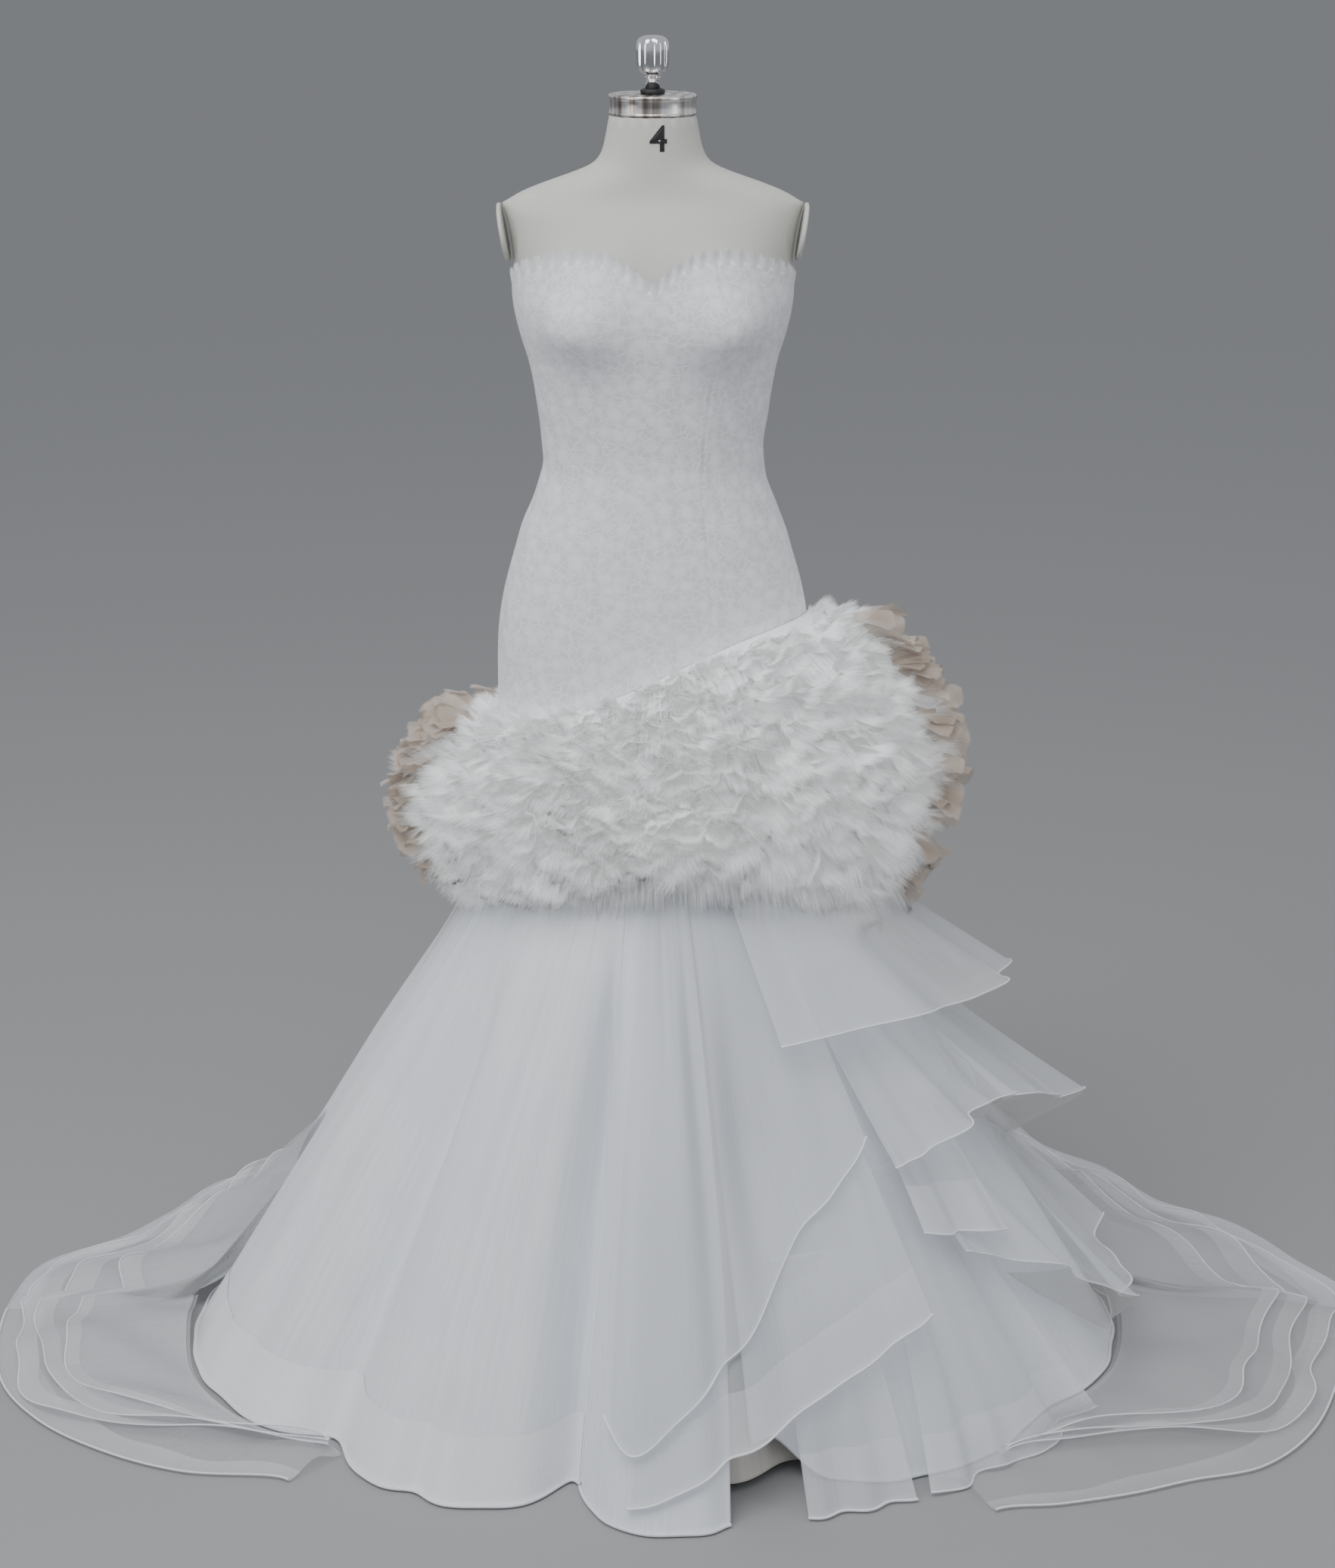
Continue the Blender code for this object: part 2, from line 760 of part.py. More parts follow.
def build_arm_plate(name, side, material):
    """An oval plate on the cut end of the shoulder, leaning in at its foot."""
    top = Vector((ARM_PLATE_TOP_SIDE, 0.0, ARM_PLATE_TOP_HEIGHT))
    foot = Vector((ARM_PLATE_FOOT_SIDE, 0.0, ARM_PLATE_FOOT_HEIGHT))
    centre = (top + foot) / 2.0
    upright = (top - foot) / 2.0
    outward = Vector((upright.z, 0.0, -upright.x)).normalized()
    rings = []
    for out, scale in ARM_PLATE_STEPS:
        ring = []
        for step in range(ARM_PLATE_SIDES):
            angle = 2.0 * math.pi * step / ARM_PLATE_SIDES
            point = centre + upright * math.cos(angle) * scale + outward * out
            point.y = ARM_PLATE_HALF_DEPTH * scale * math.sin(angle)
            point.x *= side
            ring.append(point)
        rings.append(ring)
    ring_solid(name, rings, material)


def bodice_radius(turn, height):
    """Radius of the bodice's flat-sided rows, straight between two levels."""
    for lower, upper in zip(BODICE_LEVELS, BODICE_LEVELS[1:]):
        if height <= upper:
            along = (height - lower) / (upper - lower)
            start = plain_radius(turn, lower)
            return start + (plain_radius(turn, upper) - start) * along
    return plain_radius(turn, height)


def build_bodice(lace, trim):
    for name, first, last in BODICE_PANELS:
        gap = half_seam(BODICE_SEAM_RADIUS)
        strips = round((last - first) / TURN_STEP)
        turns = turned(strips, first + gap, last - gap)
        points = [[bodice_point(turn, level) for turn in turns]
                  for level in range(TOP_LEVEL, -1, -1)]
        cloth_wall(name, points, CLOTH, lace, level_edges=True)

    build_neckline_lace(trim)


def build_neckline_lace(trim):
    """Scallops that stand up from the bodice's flat strips, two to each strip."""
    foot_line = []
    edge_line = []
    strips = round(360.0 / TURN_STEP)
    gap = half_seam(NECKLINE_SEAM_RADIUS)
    steps = strips * LACE_STEPS_A_STRIP
    for step in range(steps + 1):
        strip = min(step // LACE_STEPS_A_STRIP, strips - 1)
        along = step / LACE_STEPS_A_STRIP - strip
        if step == steps:
            along -= gap / TURN_STEP
        first_turn = -180.0 + strip * TURN_STEP
        next_turn = first_turn + TURN_STEP
        foot = bodice_point(first_turn, TOP_LEVEL - 1).lerp(
            bodice_point(next_turn, TOP_LEVEL - 1), along)
        edge = bodice_point(first_turn, TOP_LEVEL).lerp(bodice_point(next_turn, TOP_LEVEL), along)
        rise = LACE_RISE if step % LACE_STEPS_A_STRIP else LACE_RISE * LACE_DIP
        foot_line.append(foot)
        edge_line.append(edge + (edge - foot).normalized() * rise)
    points = moved_out([edge_line, foot_line], LACE_GAP + LACE_TRIM)
    cloth_wall("neckline_lace", points, LACE_TRIM, trim)


def build_frills(tulle):
    columns = WAVES_A_TIER * WAVE_STEPS
    gap = half_seam(FRILL_SEAM_RADIUS)
    for order, (name, sewn_at, hem_at, reach) in enumerate(TIERS):
        points = [[], [], []]
        for turn in turned(columns, -180.0 + gap, 180.0 - gap):
            upper = smooth_value(FRILL_PATH, turn, 1)
            lower = smooth_value(FRILL_PATH, turn, 2)
            stand = smooth_value(FRILL_PATH, turn, 3) * reach
            phase = math.radians(turn * WAVES_A_TIER + 360.0 * WAVE_SHIFT * order)
            swell = math.sin(math.radians(turn * WAVE_SWELLS + WAVE_SWELL_START))
            wave = WAVE_HEIGHT * (1.0 + WAVE_SWELL * swell) * math.cos(phase)
            sewn = upper + (lower - upper) * sewn_at
            hem = upper + (lower - upper) * hem_at
            seat = bodice_radius(turn, sewn) + TIER_SEAT + FRILL_CLOTH
            edge = plain_radius(turn, max(hem, WAIST_SEAM_HEIGHT)) + stand
            points[0].append(around(turn, seat, sewn))
            belly = seat + (edge - seat) * TIER_BELLY_OUT + wave * TIER_BELLY_WAVE
            belly_height = sewn + (hem - sewn) * TIER_BELLY_DOWN + wave * TIER_BELLY_WAVE
            points[1].append(around(turn, belly, belly_height))
            points[2].append(around(turn, edge + wave, hem + wave))
        cloth_wall(name, points, FRILL_CLOTH, tulle)


def panel_points(top_turns, hem_turns, falls, top, hem, radius):
    """Rows of a panel; a fall of 0 is its top edge and 1 its hem."""
    points = []
    for fall in falls:
        line = []
        for top_turn, hem_turn in zip(top_turns, hem_turns):
            turn = top_turn + (hem_turn - top_turn) * fall
            height = top + (hem(turn) - top) * fall
            line.append(around(turn, radius(turn, height), height))
        points.append(line)
    return points


def even_falls(rows):
    return [row / rows for row in range(rows + 1)]


def floor_hem(_turn):
    return FLOOR_CLEARANCE


def opening_hem(turn):
    """The right side panel's hem lifts beside the centre tube."""
    return FLOOR_CLEARANCE + OPENING_HEM_RISE * ease((OPENING_HEM_TURN - turn) / OPENING_HEM_SPREAD)


def build_skirt(tulle, band, lining):
    gap = half_seam(SKIRT_SEAM_RADIUS)
    top = WAIST_SEAM_HEIGHT
    tube_first = TUBE[0][0]
    band_fall = (top - HEM_BAND_HEIGHT) / (top - FLOOR_CLEARANCE)
    falls = [band_fall * fall for fall in even_falls(SKIRT_ROWS)] + [1.0]

    left_turns = turned(SKIRT_LEFT_STRIPS, -TRAIN_SEAM_TURN + gap, tube_first - gap)
    left = panel_points(left_turns, left_turns, falls, top, floor_hem, skirt_radius)
    cloth_wall("skirt_front_left", left, CLOTH, tulle, level_edges=True)
    band_points = moved_out(left[-2:], BAND_GAP + BAND_CLOTH)
    cloth_wall("hem_band_front_left", band_points, BAND_CLOTH, band, level_edges=True)

    tube_top_turns = turned(TUBE_STRIPS, tube_first + gap, TUBE_LAST_TURN_TOP - gap)
    tube_hem_turns = turned(TUBE_STRIPS, tube_first + gap, TUBE_LAST_TURN_HEM)
    tube = panel_points(tube_top_turns, tube_hem_turns, falls, top, floor_hem, tube_radius)
    cloth_wall("skirt_centre_tube", tube, CLOTH, tulle, level_edges=True)

    right_turns = turned(SKIRT_RIGHT_STRIPS, TUBE_LAST_TURN_TOP + gap, TRAIN_SEAM_TURN - gap)
    right = panel_points(right_turns, right_turns, falls, top, opening_hem, skirt_radius)
    cloth_wall("skirt_side_right", right, CLOTH, tulle, level_edges=True)

    def lining_radius(turn, height):
        down = ease((LINING_TOP - height) / (LINING_TOP - LINING_INSET_FULL))
        inset = SEAT + (LINING_INSET - SEAT) * down
        return min(skirt_radius(turn, height), tube_radius(turn, height)) - inset

    def lining_hem(_turn):
        return LINING_HEM

    lining_turns = turned(LINING_STRIPS, LINING_FIRST_TURN, LINING_LAST_TURN)
    lining_points = panel_points(lining_turns, lining_turns, even_falls(LINING_ROWS), LINING_TOP,
                                 lining_hem, lining_radius)
    cloth_wall("skirt_lining", lining_points, CLOTH, lining)
    return right


def layer_step(height):
    """How far one front layer lies out from the next: closest where both are sewn on."""
    return SEAT + (LAYER_STEP - SEAT) * ease((LAYER_TOP - height) / (LAYER_TOP - LAYER_STEP_FULL))


def build_front_layers(tulle):
    def first_radius(turn, height):
        return tube_radius(turn, height) + FIRST_LAYER_STEPS * layer_step(height)

    def second_radius(turn, height):
        return tube_radius(turn, height) + layer_step(height)

    def first_hem(turn):
        return smooth_value(FIRST_LAYER_HEM, turn, 1)

    def second_hem(turn):
        return smooth_value(SECOND_LAYER_HEM, turn, 1)

    first_turns = turned(FIRST_LAYER_STRIPS, FIRST_LAYER_HEM[0][0], FIRST_LAYER_HEM[-1][0])
    first = panel_points(first_turns, first_turns, even_falls(FIRST_LAYER_ROWS), LAYER_TOP,
                         first_hem, first_radius)
    cloth_wall("front_layer_1", first, CLOTH, tulle)
    second_turns = turned(SECOND_LAYER_STRIPS, SECOND_LAYER_HEM[0][0], SECOND_LAYER_HEM[-1][0])
    second = panel_points(second_turns, second_turns, even_falls(SECOND_LAYER_ROWS), LAYER_TOP,
                          second_hem, second_radius)
    cloth_wall("front_layer_2", second, CLOTH, tulle)

    carrier = surface_tree([moved_out(second, -CLOTH)])

    def third_radius(turn, height):
        if height == THIRD_LAYER_TOP:
            return surface_radius(carrier, turn, height) - THIRD_LAYER_SEAT
        waves = (turn - THIRD_LAYER_FIRST_TURN) / THIRD_LAYER_WAVE_TURN
        wave = THIRD_LAYER_WAVE * math.sin(2.0 * math.pi * waves)
        fall = (THIRD_LAYER_TOP - height) / THIRD_LAYER_TOP
        out = THIRD_LAYER_OUT_TOP + (THIRD_LAYER_OUT_HEM - THIRD_LAYER_OUT_TOP) * fall
        return plain_radius(turn, height) + out + wave * fall

    third_turns = turned(THIRD_LAYER_STRIPS, THIRD_LAYER_FIRST_TURN, THIRD_LAYER_LAST_TURN)
    third = panel_points(third_turns, third_turns, even_falls(THIRD_LAYER_ROWS), THIRD_LAYER_TOP,
                         floor_hem, third_radius)
    cloth_wall("front_layer_3", third, CLOTH, tulle)


def flounce_points(name, carrier, top_height, seat, belly, strips, rows):
    table = FLOUNCES[name]
    stations = [(float(index), *row) for index, row in enumerate(table)]
    last = len(table) - 1
    points = []
    for row in range(rows + 1):
        fall = row / rows
        line = []
        for step in range(strips + 1):
            place = last * step / strips
            top_turn = smooth_value(stations, place, 1)
            hem_turn = smooth_value(stations, place, 2)
            hem_radius = smooth_value(stations, place, 3)
            hem_height = smooth_value(stations, place, 4)
            top_radius = surface_radius(carrier, top_turn, top_height) + seat
            turn = top_turn + (hem_turn - top_turn) * fall
            height = top_height + (hem_height - top_height) * fall
            radius = top_radius + (hem_radius - top_radius) * fall ** belly
            line.append(around(turn, radius, height))
        points.append(line)
    return points


def build_flounces(tulle, carrier):
    for name, top_height, seat, belly, strips, rows in FLOUNCE_SETTINGS:
        points = flounce_points(name, carrier, top_height, seat, belly, strips, rows)
        cloth_wall(name, points, CLOTH, tulle)


def train_height(turn, radius):
    """Cloth that leaves the skirt's slope at the break and runs out flat on the floor."""
    outline = smooth_value(TRAIN_OUTLINE, turn, 1)
    start = plain_radius(turn, TRAIN_BREAK)
    along = min(1.0, max(0.0, (radius - start) / (outline - start)))
    power = TRAIN_SLOPE * (outline - start) / TRAIN_BREAK
    power *= 1.0 + TRAIN_SEAM_DROP * bell(abs(turn) - TRAIN_SEAM_TURN, TRAIN_SEAM_SPREAD)
    ripple = 0.5 + 0.5 * math.sin(math.radians(turn * TRAIN_RIPPLES))
    swell = ease(along * RIPPLE_RISE) * ease((1.0 - along) * RIPPLE_FALL + RIPPLE_AT_EDGE)
    height = TRAIN_BREAK * (1.0 - along) ** power + TRAIN_RIPPLE_HEIGHT * ripple * swell
    return max(height, CLOTH + FLOOR_CLEARANCE)


def back_panel_points(turns):
    points = []
    for row in range(BACK_SLOPE_ROWS):
        height = WAIST_SEAM_HEIGHT + (TRAIN_BREAK - WAIST_SEAM_HEIGHT) * row / BACK_SLOPE_ROWS
        points.append([around(turn, skirt_radius(turn, height), height) for turn in turns])
    for share in even_falls(BACK_FLOOR_ROWS):
        along = share ** TRAIN_ROW_POWER
        line = []
        for turn in turns:
            outline = smooth_value(TRAIN_OUTLINE, turn, 1)
            start = plain_radius(turn, TRAIN_BREAK)
            radius = start + (outline - start) * along
            fold = fold_depth(turn, TRAIN_BREAK) * (1.0 - ease(along * TRAIN_FOLD_FADE))
            line.append(around(turn, radius + fold, train_height(turn, radius)))
        points.append(line)
    return points


def side_points(turns, first_radius):
    """The part of the train that lies on the floor beside the front panels."""
    points = []
    for along in even_falls(TRAIN_SIDE_ROWS):
        line = []
        for turn in turns:
            outline = smooth_value(TRAIN_OUTLINE, turn, 1)
            start = first_radius(turn)
            radius = start + (outline - start) * along
            swell = TRAIN_SIDE_LIFT * math.sin(math.pi * along) ** 2
            low = CLOTH + FLOOR_CLEARANCE + swell
            past = abs(turn) - TRAIN_SIDE_LIFT_TURN
            lift = ease(past / (TRAIN_SEAM_TURN - TRAIN_SIDE_LIFT_TURN))
            height = low + (train_height(turn, radius) - low) * lift
            line.append(around(turn, radius, height))
        points.append(line)
    return points


def build_train(tulle):
    gap = half_seam(SKIRT_SEAM_RADIUS)
    for name, first, last in (("skirt_back_left", -180.0, -TRAIN_SEAM_TURN),
                              ("skirt_back_right", TRAIN_SEAM_TURN, 180.0)):
        turns = turned(BACK_STRIPS, first + gap, last - gap)
        back = back_panel_points(turns)
        cloth_wall(name, back, CLOTH, tulle)

    def left_start(turn):
        return skirt_radius(turn, 0.0) + TRAIN_SIDE_GAP

    def right_start(turn):
        beside_skirt = skirt_radius(turn, 0.0) + TRAIN_SIDE_GAP
        past_flounce = ease((turn - TRAIN_RIGHT_CLEAR_TURN) / TRAIN_CLEAR_SPREAD)
        return TRAIN_SIDE_START_RIGHT + (beside_skirt - TRAIN_SIDE_START_RIGHT) * past_flounce

    left_turns = turned(TRAIN_LEFT_STRIPS, -TRAIN_SEAM_TURN + gap, TRAIN_SIDE_LEFT_TURN)
    left = side_points(left_turns, left_start)
    cloth_wall("train_side_left", left, CLOTH, tulle)
    right_turns = turned(TRAIN_RIGHT_STRIPS, TRAIN_SIDE_RIGHT_TURN, TRAIN_SEAM_TURN - gap)
    right = side_points(right_turns, right_start)
    cloth_wall("train_side_right", right, CLOTH, tulle)
    return back


def build_gown():
    remove_everything()
    lace = make_material("corded lace", (0.86, 0.87, 0.88), 0.75)
    trim = make_material("eyelash lace", (0.90, 0.91, 0.92), 0.80)
    tulle = make_material("ivory tulle", (0.84, 0.86, 0.88), 0.70)
    frill = make_material("frill tulle", (0.88, 0.90, 0.90), 0.80)
    band = make_material("horsehair band", (0.90, 0.91, 0.93), 0.50)
    lining = make_material("satin lining", (0.72, 0.70, 0.66), 0.45)
    linen = make_material("form linen", (0.72, 0.70, 0.64), 0.85)
    nickel = make_material("brushed nickel", (0.60, 0.56, 0.52), 0.28, 1.0)
    chrome = make_material("polished chrome", (0.80, 0.80, 0.82), 0.10, 1.0)
    painted = make_material("painted steel", (0.10, 0.10, 0.11), 0.40, 0.3)
    rubber = make_material("black ring", (0.03, 0.03, 0.03), 0.50)
    build_form(linen, nickel, chrome, painted, rubber)
    build_bodice(lace, trim)
    build_frills(frill)
    side_right = build_skirt(tulle, band, lining)
    build_front_layers(tulle)
    back_right = build_train(tulle)
    build_flounces(tulle, surface_tree([side_right, back_right]))


build_gown()
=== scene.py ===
# %% [markdown]
# # A mermaid gown on its dress form
# The gown is strapless, with a lace bodice, a band of gathered tulle round the hips, a flared
# skirt with flounces that cascade down one side, and a train. It stands on a limbless dress form.
# The solids of the CAD model give every size here. The pieces below take the place of the plain
# solids and carry the folds, the frills and the cloth itself.

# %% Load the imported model
import math
import random

import bmesh
import bpy
from mathutils import Matrix, Vector


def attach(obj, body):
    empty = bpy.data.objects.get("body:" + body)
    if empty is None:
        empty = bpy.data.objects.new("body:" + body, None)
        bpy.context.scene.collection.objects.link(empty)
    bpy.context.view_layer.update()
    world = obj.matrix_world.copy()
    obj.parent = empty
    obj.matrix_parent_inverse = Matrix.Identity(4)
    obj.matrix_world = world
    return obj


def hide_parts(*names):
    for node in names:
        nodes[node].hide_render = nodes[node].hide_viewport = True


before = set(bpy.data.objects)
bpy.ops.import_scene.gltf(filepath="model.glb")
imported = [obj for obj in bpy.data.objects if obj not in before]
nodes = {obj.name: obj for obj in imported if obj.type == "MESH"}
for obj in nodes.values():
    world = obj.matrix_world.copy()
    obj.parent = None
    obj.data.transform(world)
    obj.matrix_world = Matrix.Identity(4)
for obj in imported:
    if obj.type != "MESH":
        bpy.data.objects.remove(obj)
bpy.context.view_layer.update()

# %% [markdown]
# ## The camera, the light and the floor
# The photograph looks a little down on the gown from the front, from about three metres. A lens
# that long keeps the body straight, while the hem still shows as a wide oval on the floor.
# The light is soft and comes from above the front, as in a studio with a white ceiling: one wide
# area light shapes the folds, two tall strips give the metal something to reflect, and the world
# fills the rest.

# %% Camera
CAMERA_PLACE = (0.016, -3.12, 1.69)
CAMERA_PITCH = 71.94
CAMERA_LENS = 64.75

camera_data = bpy.data.cameras.new("gown_camera")
camera_data.lens = CAMERA_LENS
camera_data.sensor_width = 36.0
camera = bpy.data.objects.new("gown_camera", camera_data)
camera.location = CAMERA_PLACE
camera.rotation_euler = (math.radians(CAMERA_PITCH), 0.0, 0.0)
bpy.context.scene.collection.objects.link(camera)
bpy.context.scene.camera = camera
print("camera at", CAMERA_PLACE, "lens", CAMERA_LENS, "mm")

# %% Lights


def add_area_light(name, place, target, size, power, colour):
    light_data = bpy.data.lights.new(name, "AREA")
    light_data.shape = "RECTANGLE"
    light_data.size, light_data.size_y = size
    light_data.energy = power
    light_data.color = colour
    light = bpy.data.objects.new(name, light_data)
    light.location = place
    light.rotation_euler = (Vector(target) - Vector(place)).to_track_quat("-Z", "Y").to_euler()
    bpy.context.scene.collection.objects.link(light)
    return light


add_area_light("ceiling_light", (-0.7, -1.5, 3.6), (0.0, 0.0, 0.8), (3.0, 2.2), 78.0, (0.975, 0.985, 1.0))
add_area_light("left_strip", (-2.6, -1.9, 1.7), (0.0, 0.0, 0.9), (0.5, 2.2), 16.0, (0.96, 0.98, 1.0))
add_area_light("right_strip", (2.5, -1.4, 1.7), (0.0, 0.0, 0.9), (0.35, 2.2), 7.0, (1.0, 0.98, 0.96))

world = bpy.data.worlds.new("studio_air")
bpy.context.scene.world = world
world.use_nodes = True
world.node_tree.nodes["Background"].inputs["Color"].default_value = (0.77, 0.80, 0.85, 1.0)
world.node_tree.nodes["Background"].inputs["Strength"].default_value = 0.66

# %% [markdown]
# ## Materials
# Every finish is made from nodes. A small helper makes a material with its shader and its object
# coordinates, and others add what many of the cloths share: fine noise in the colour, and a bump.
# Sheer cloth lets part of the light through, so its alpha is below one, and it is denser along
# a stiffened hem band and along the corded edge. Each sheet of cloth stores, in its UV map, how far
# a point is from the hem in metres, so the material can find the band and the cord.

# %% Helpers for materials


def new_finish(name, colour, roughness, **sockets):
    finish = bpy.data.materials.new(name)
    finish.use_nodes = True
    shader = finish.node_tree.nodes["Principled BSDF"]
    shader.inputs["Base Color"].default_value = (*colour, 1.0)
    shader.inputs["Roughness"].default_value = roughness
    for socket, value in sockets.items():
        shader.inputs[socket.replace("_", " ")].default_value = value
    return finish, finish.node_tree, shader


def add_node(tree, kind, **values):
    node = tree.nodes.new(kind)
    for key, value in values.items():
        setattr(node, key, value)
    return node


def noise(tree, scale, detail=3.0, stretch=None, coordinate="Object"):
    """Noise on the object's own coordinates, or on the cloth's, optionally stretched."""
    place = add_node(tree, "ShaderNodeTexCoord")
    pattern = add_node(tree, "ShaderNodeTexNoise")
    pattern.inputs["Scale"].default_value = scale
    pattern.inputs["Detail"].default_value = detail
    source = place.outputs[coordinate]
    if stretch:
        mapping = add_node(tree, "ShaderNodeMapping")
        mapping.inputs["Scale"].default_value = stretch
        tree.links.new(source, mapping.inputs["Vector"])
        source = mapping.outputs["Vector"]
    tree.links.new(source, pattern.inputs["Vector"])
    return pattern.outputs["Fac"]


def ramp(tree, source, stops):
    """A colour ramp: stops are (place, colour)."""
    node = add_node(tree, "ShaderNodeValToRGB")
    tree.links.new(source, node.inputs["Fac"])
    elements = node.color_ramp.elements
    elements[0].position, elements[0].color = stops[0][0], (*stops[0][1], 1.0)
    elements[1].position, elements[1].color = stops[-1][0], (*stops[-1][1], 1.0)
    for place, colour in stops[1:-1]:
        element = elements.new(place)
        element.color = (*colour, 1.0)
    return node.outputs["Color"]


def add_bump(tree, shader, height, strength, distance):
    node = add_node(tree, "ShaderNodeBump")
    node.inputs["Strength"].default_value = strength
    node.inputs["Distance"].default_value = distance
    tree.links.new(height, node.inputs["Height"])
    tree.links.new(node.outputs["Normal"], shader.inputs["Normal"])
    return node


def combine(tree, first, second, operation="MULTIPLY", amount=None):
    node = add_node(tree, "ShaderNodeMath", operation=operation)
    tree.links.new(first, node.inputs[0])
    if second is not None:
        tree.links.new(second, node.inputs[1])
    else:
        node.inputs[1].default_value = amount
    return node.outputs["Value"]


def hem_distance(tree):
    """The cloth's second UV coordinate is the distance from its hem, in metres."""
    place = add_node(tree, "ShaderNodeUVMap", uv_map="cloth")
    apart = add_node(tree, "ShaderNodeSeparateXYZ")
    tree.links.new(place.outputs["UV"], apart.inputs["Vector"])
    return apart.outputs["Y"]


def grey(value):
    return (value, value, value)


print("material helpers ready")

# %% [markdown]
# ### Lace, tulle and organza
# Corded lace is a net with flowers and leaves on it, outlined by a raised thread. Here, rounded
# cells give the flowers, a warped noise gives the leaves between them, and a very fine cell
# pattern gives the net. Together they set both the colour and the bump, so the pattern stays
# readable where the light is flat. Tulle is a fine net whose threads read as soft streaks along
# the fall of the cloth, so its noise is stretched along the cloth's own direction.

# %% Lace
lace_finish, tree, shader = new_finish("corded_lace", (0.84, 0.85, 0.86), 0.78, Sheen_Weight=0.25, Sheen_Roughness=0.5)
place = add_node(tree, "ShaderNodeTexCoord")
warp = add_node(tree, "ShaderNodeTexNoise")
warp.inputs["Scale"].default_value = 34.0
warp.inputs["Detail"].default_value = 2.0
tree.links.new(place.outputs["Object"], warp.inputs["Vector"])
shifted = add_node(tree, "ShaderNodeVectorMath", operation="MULTIPLY_ADD")
tree.links.new(warp.outputs["Color"], shifted.inputs[0])
shifted.inputs[1].default_value = (0.018, 0.018, 0.018)
tree.links.new(place.outputs["Object"], shifted.inputs[2])
flowers = add_node(tree, "ShaderNodeTexVoronoi", feature="F1")
flowers.inputs["Scale"].default_value = 58.0
flowers.inputs["Randomness"].default_value = 0.75
tree.links.new(shifted.outputs["Vector"], flowers.inputs["Vector"])
cords = add_node(tree, "ShaderNodeTexVoronoi", feature="DISTANCE_TO_EDGE")
cords.inputs["Scale"].default_value = 105.0
tree.links.new(shifted.outputs["Vector"], cords.inputs["Vector"])
net = add_node(tree, "ShaderNodeTexVoronoi", feature="DISTANCE_TO_EDGE")
net.inputs["Scale"].default_value = 520.0
tree.links.new(place.outputs["Object"], net.inputs["Vector"])
petals = ramp(tree, flowers.outputs["Distance"], [(0.20, grey(1.0)), (0.42, grey(0.30)), (0.60, grey(0.0))])
threads = ramp(tree, cords.outputs["Distance"], [(0.0, grey(1.0)), (0.07, grey(0.25)), (0.16, grey(0.0))])
mesh_net = ramp(tree, net.outputs["Distance"], [(0.0, grey(0.35)), (0.16, grey(0.0))])
motif = combine(tree, petals, threads, "MAXIMUM")
relief = combine(tree, motif, mesh_net, "ADD")
colour = ramp(tree, relief, [(0.0, (0.72, 0.735, 0.745)), (0.35, (0.815, 0.835, 0.865)), (1.0, (0.91, 0.925, 0.955))])
tree.links.new(colour, shader.inputs["Base Color"])
add_bump(tree, shader, relief, 0.35, 0.0007)

# The lace of the neckline is the same white, and fades out between its fine lashes
eyelash_finish, tree, shader = new_finish("eyelash_lace", (0.86, 0.87, 0.88), 0.8, Sheen_Weight=0.3)
lashes = noise(tree, 1.0, 2.0, (420.0, 16.0, 1.0), "UV")
colour = ramp(tree, lashes, [(0.35, (0.80, 0.81, 0.81)), (0.65, (0.90, 0.91, 0.92))])
tree.links.new(colour, shader.inputs["Base Color"])
from_top = hem_distance(tree)
thinning = combine(tree, combine(tree, from_top, None, "MULTIPLY", -55.0), None, "ADD", 1.75)
strands = combine(tree, thinning, combine(tree, lashes, None, "MULTIPLY", 1.6), "ADD")
tree.links.new(ramp(tree, strands, [(0.62, grey(0.0)), (1.05, grey(0.95))]), shader.inputs["Alpha"])
print("lace ready")

# %% Tulle over satin, for the panels that aren't sheer
panel_finish, tree, shader = new_finish("tulle_over_satin", (0.80, 0.82, 0.84), 0.62, Sheen_Weight=0.4, Sheen_Roughness=0.4)
streaks = noise(tree, 1.0, 4.0, (150.0, 2.2, 1.0), "UV")
haze = noise(tree, 7.0, 2.0)
mixed = combine(tree, streaks, haze, "ADD")
PANEL_STOPS = [(0.55, (0.745, 0.765, 0.80)), (1.0, (0.80, 0.825, 0.865)), (1.45, (0.855, 0.875, 0.905))]
tree.links.new(ramp(tree, mixed, PANEL_STOPS), shader.inputs["Base Color"])
add_bump(tree, shader, streaks, 0.18, 0.0008)

# The back panels end as the train, where only the sheer tulle is left
back_finish, tree, shader = new_finish("tulle_into_train", (0.80, 0.82, 0.84), 0.62, Sheen_Weight=0.4)
streaks = noise(tree, 1.0, 4.0, (150.0, 2.2, 1.0), "UV")
mixed = combine(tree, streaks, noise(tree, 7.0, 2.0), "ADD")
tree.links.new(ramp(tree, mixed, PANEL_STOPS), shader.inputs["Base Color"])
above_hem = hem_distance(tree)
uneven = combine(tree, above_hem, combine(tree, noise(tree, 8.0, 3.0), None, "MULTIPLY", 0.06), "ADD")
open_part = ramp(tree, uneven, [(0.0, grey(1.0)), (0.006, grey(0.62)), (0.075, grey(0.60)), (0.078, grey(0.36)),
                                (0.48, grey(0.42)), (0.68, grey(1.0))])
tree.links.new(open_part, shader.inputs["Alpha"])

band_finish, tree, shader = new_finish("horsehair_band", (0.86, 0.87, 0.90), 0.42, Sheen_Weight=0.3)
weave = noise(tree, 1.0, 2.0, (900.0, 70.0, 1.0), "UV")
colour = ramp(tree, weave, [(0.3, (0.86, 0.87, 0.895)), (0.7, (0.93, 0.935, 0.955))])
tree.links.new(colour, shader.inputs["Base Color"])
add_bump(tree, shader, weave, 0.2, 0.0004)
print("panel cloth ready")

# %% Sheer cloth with a stiffened band and a corded edge


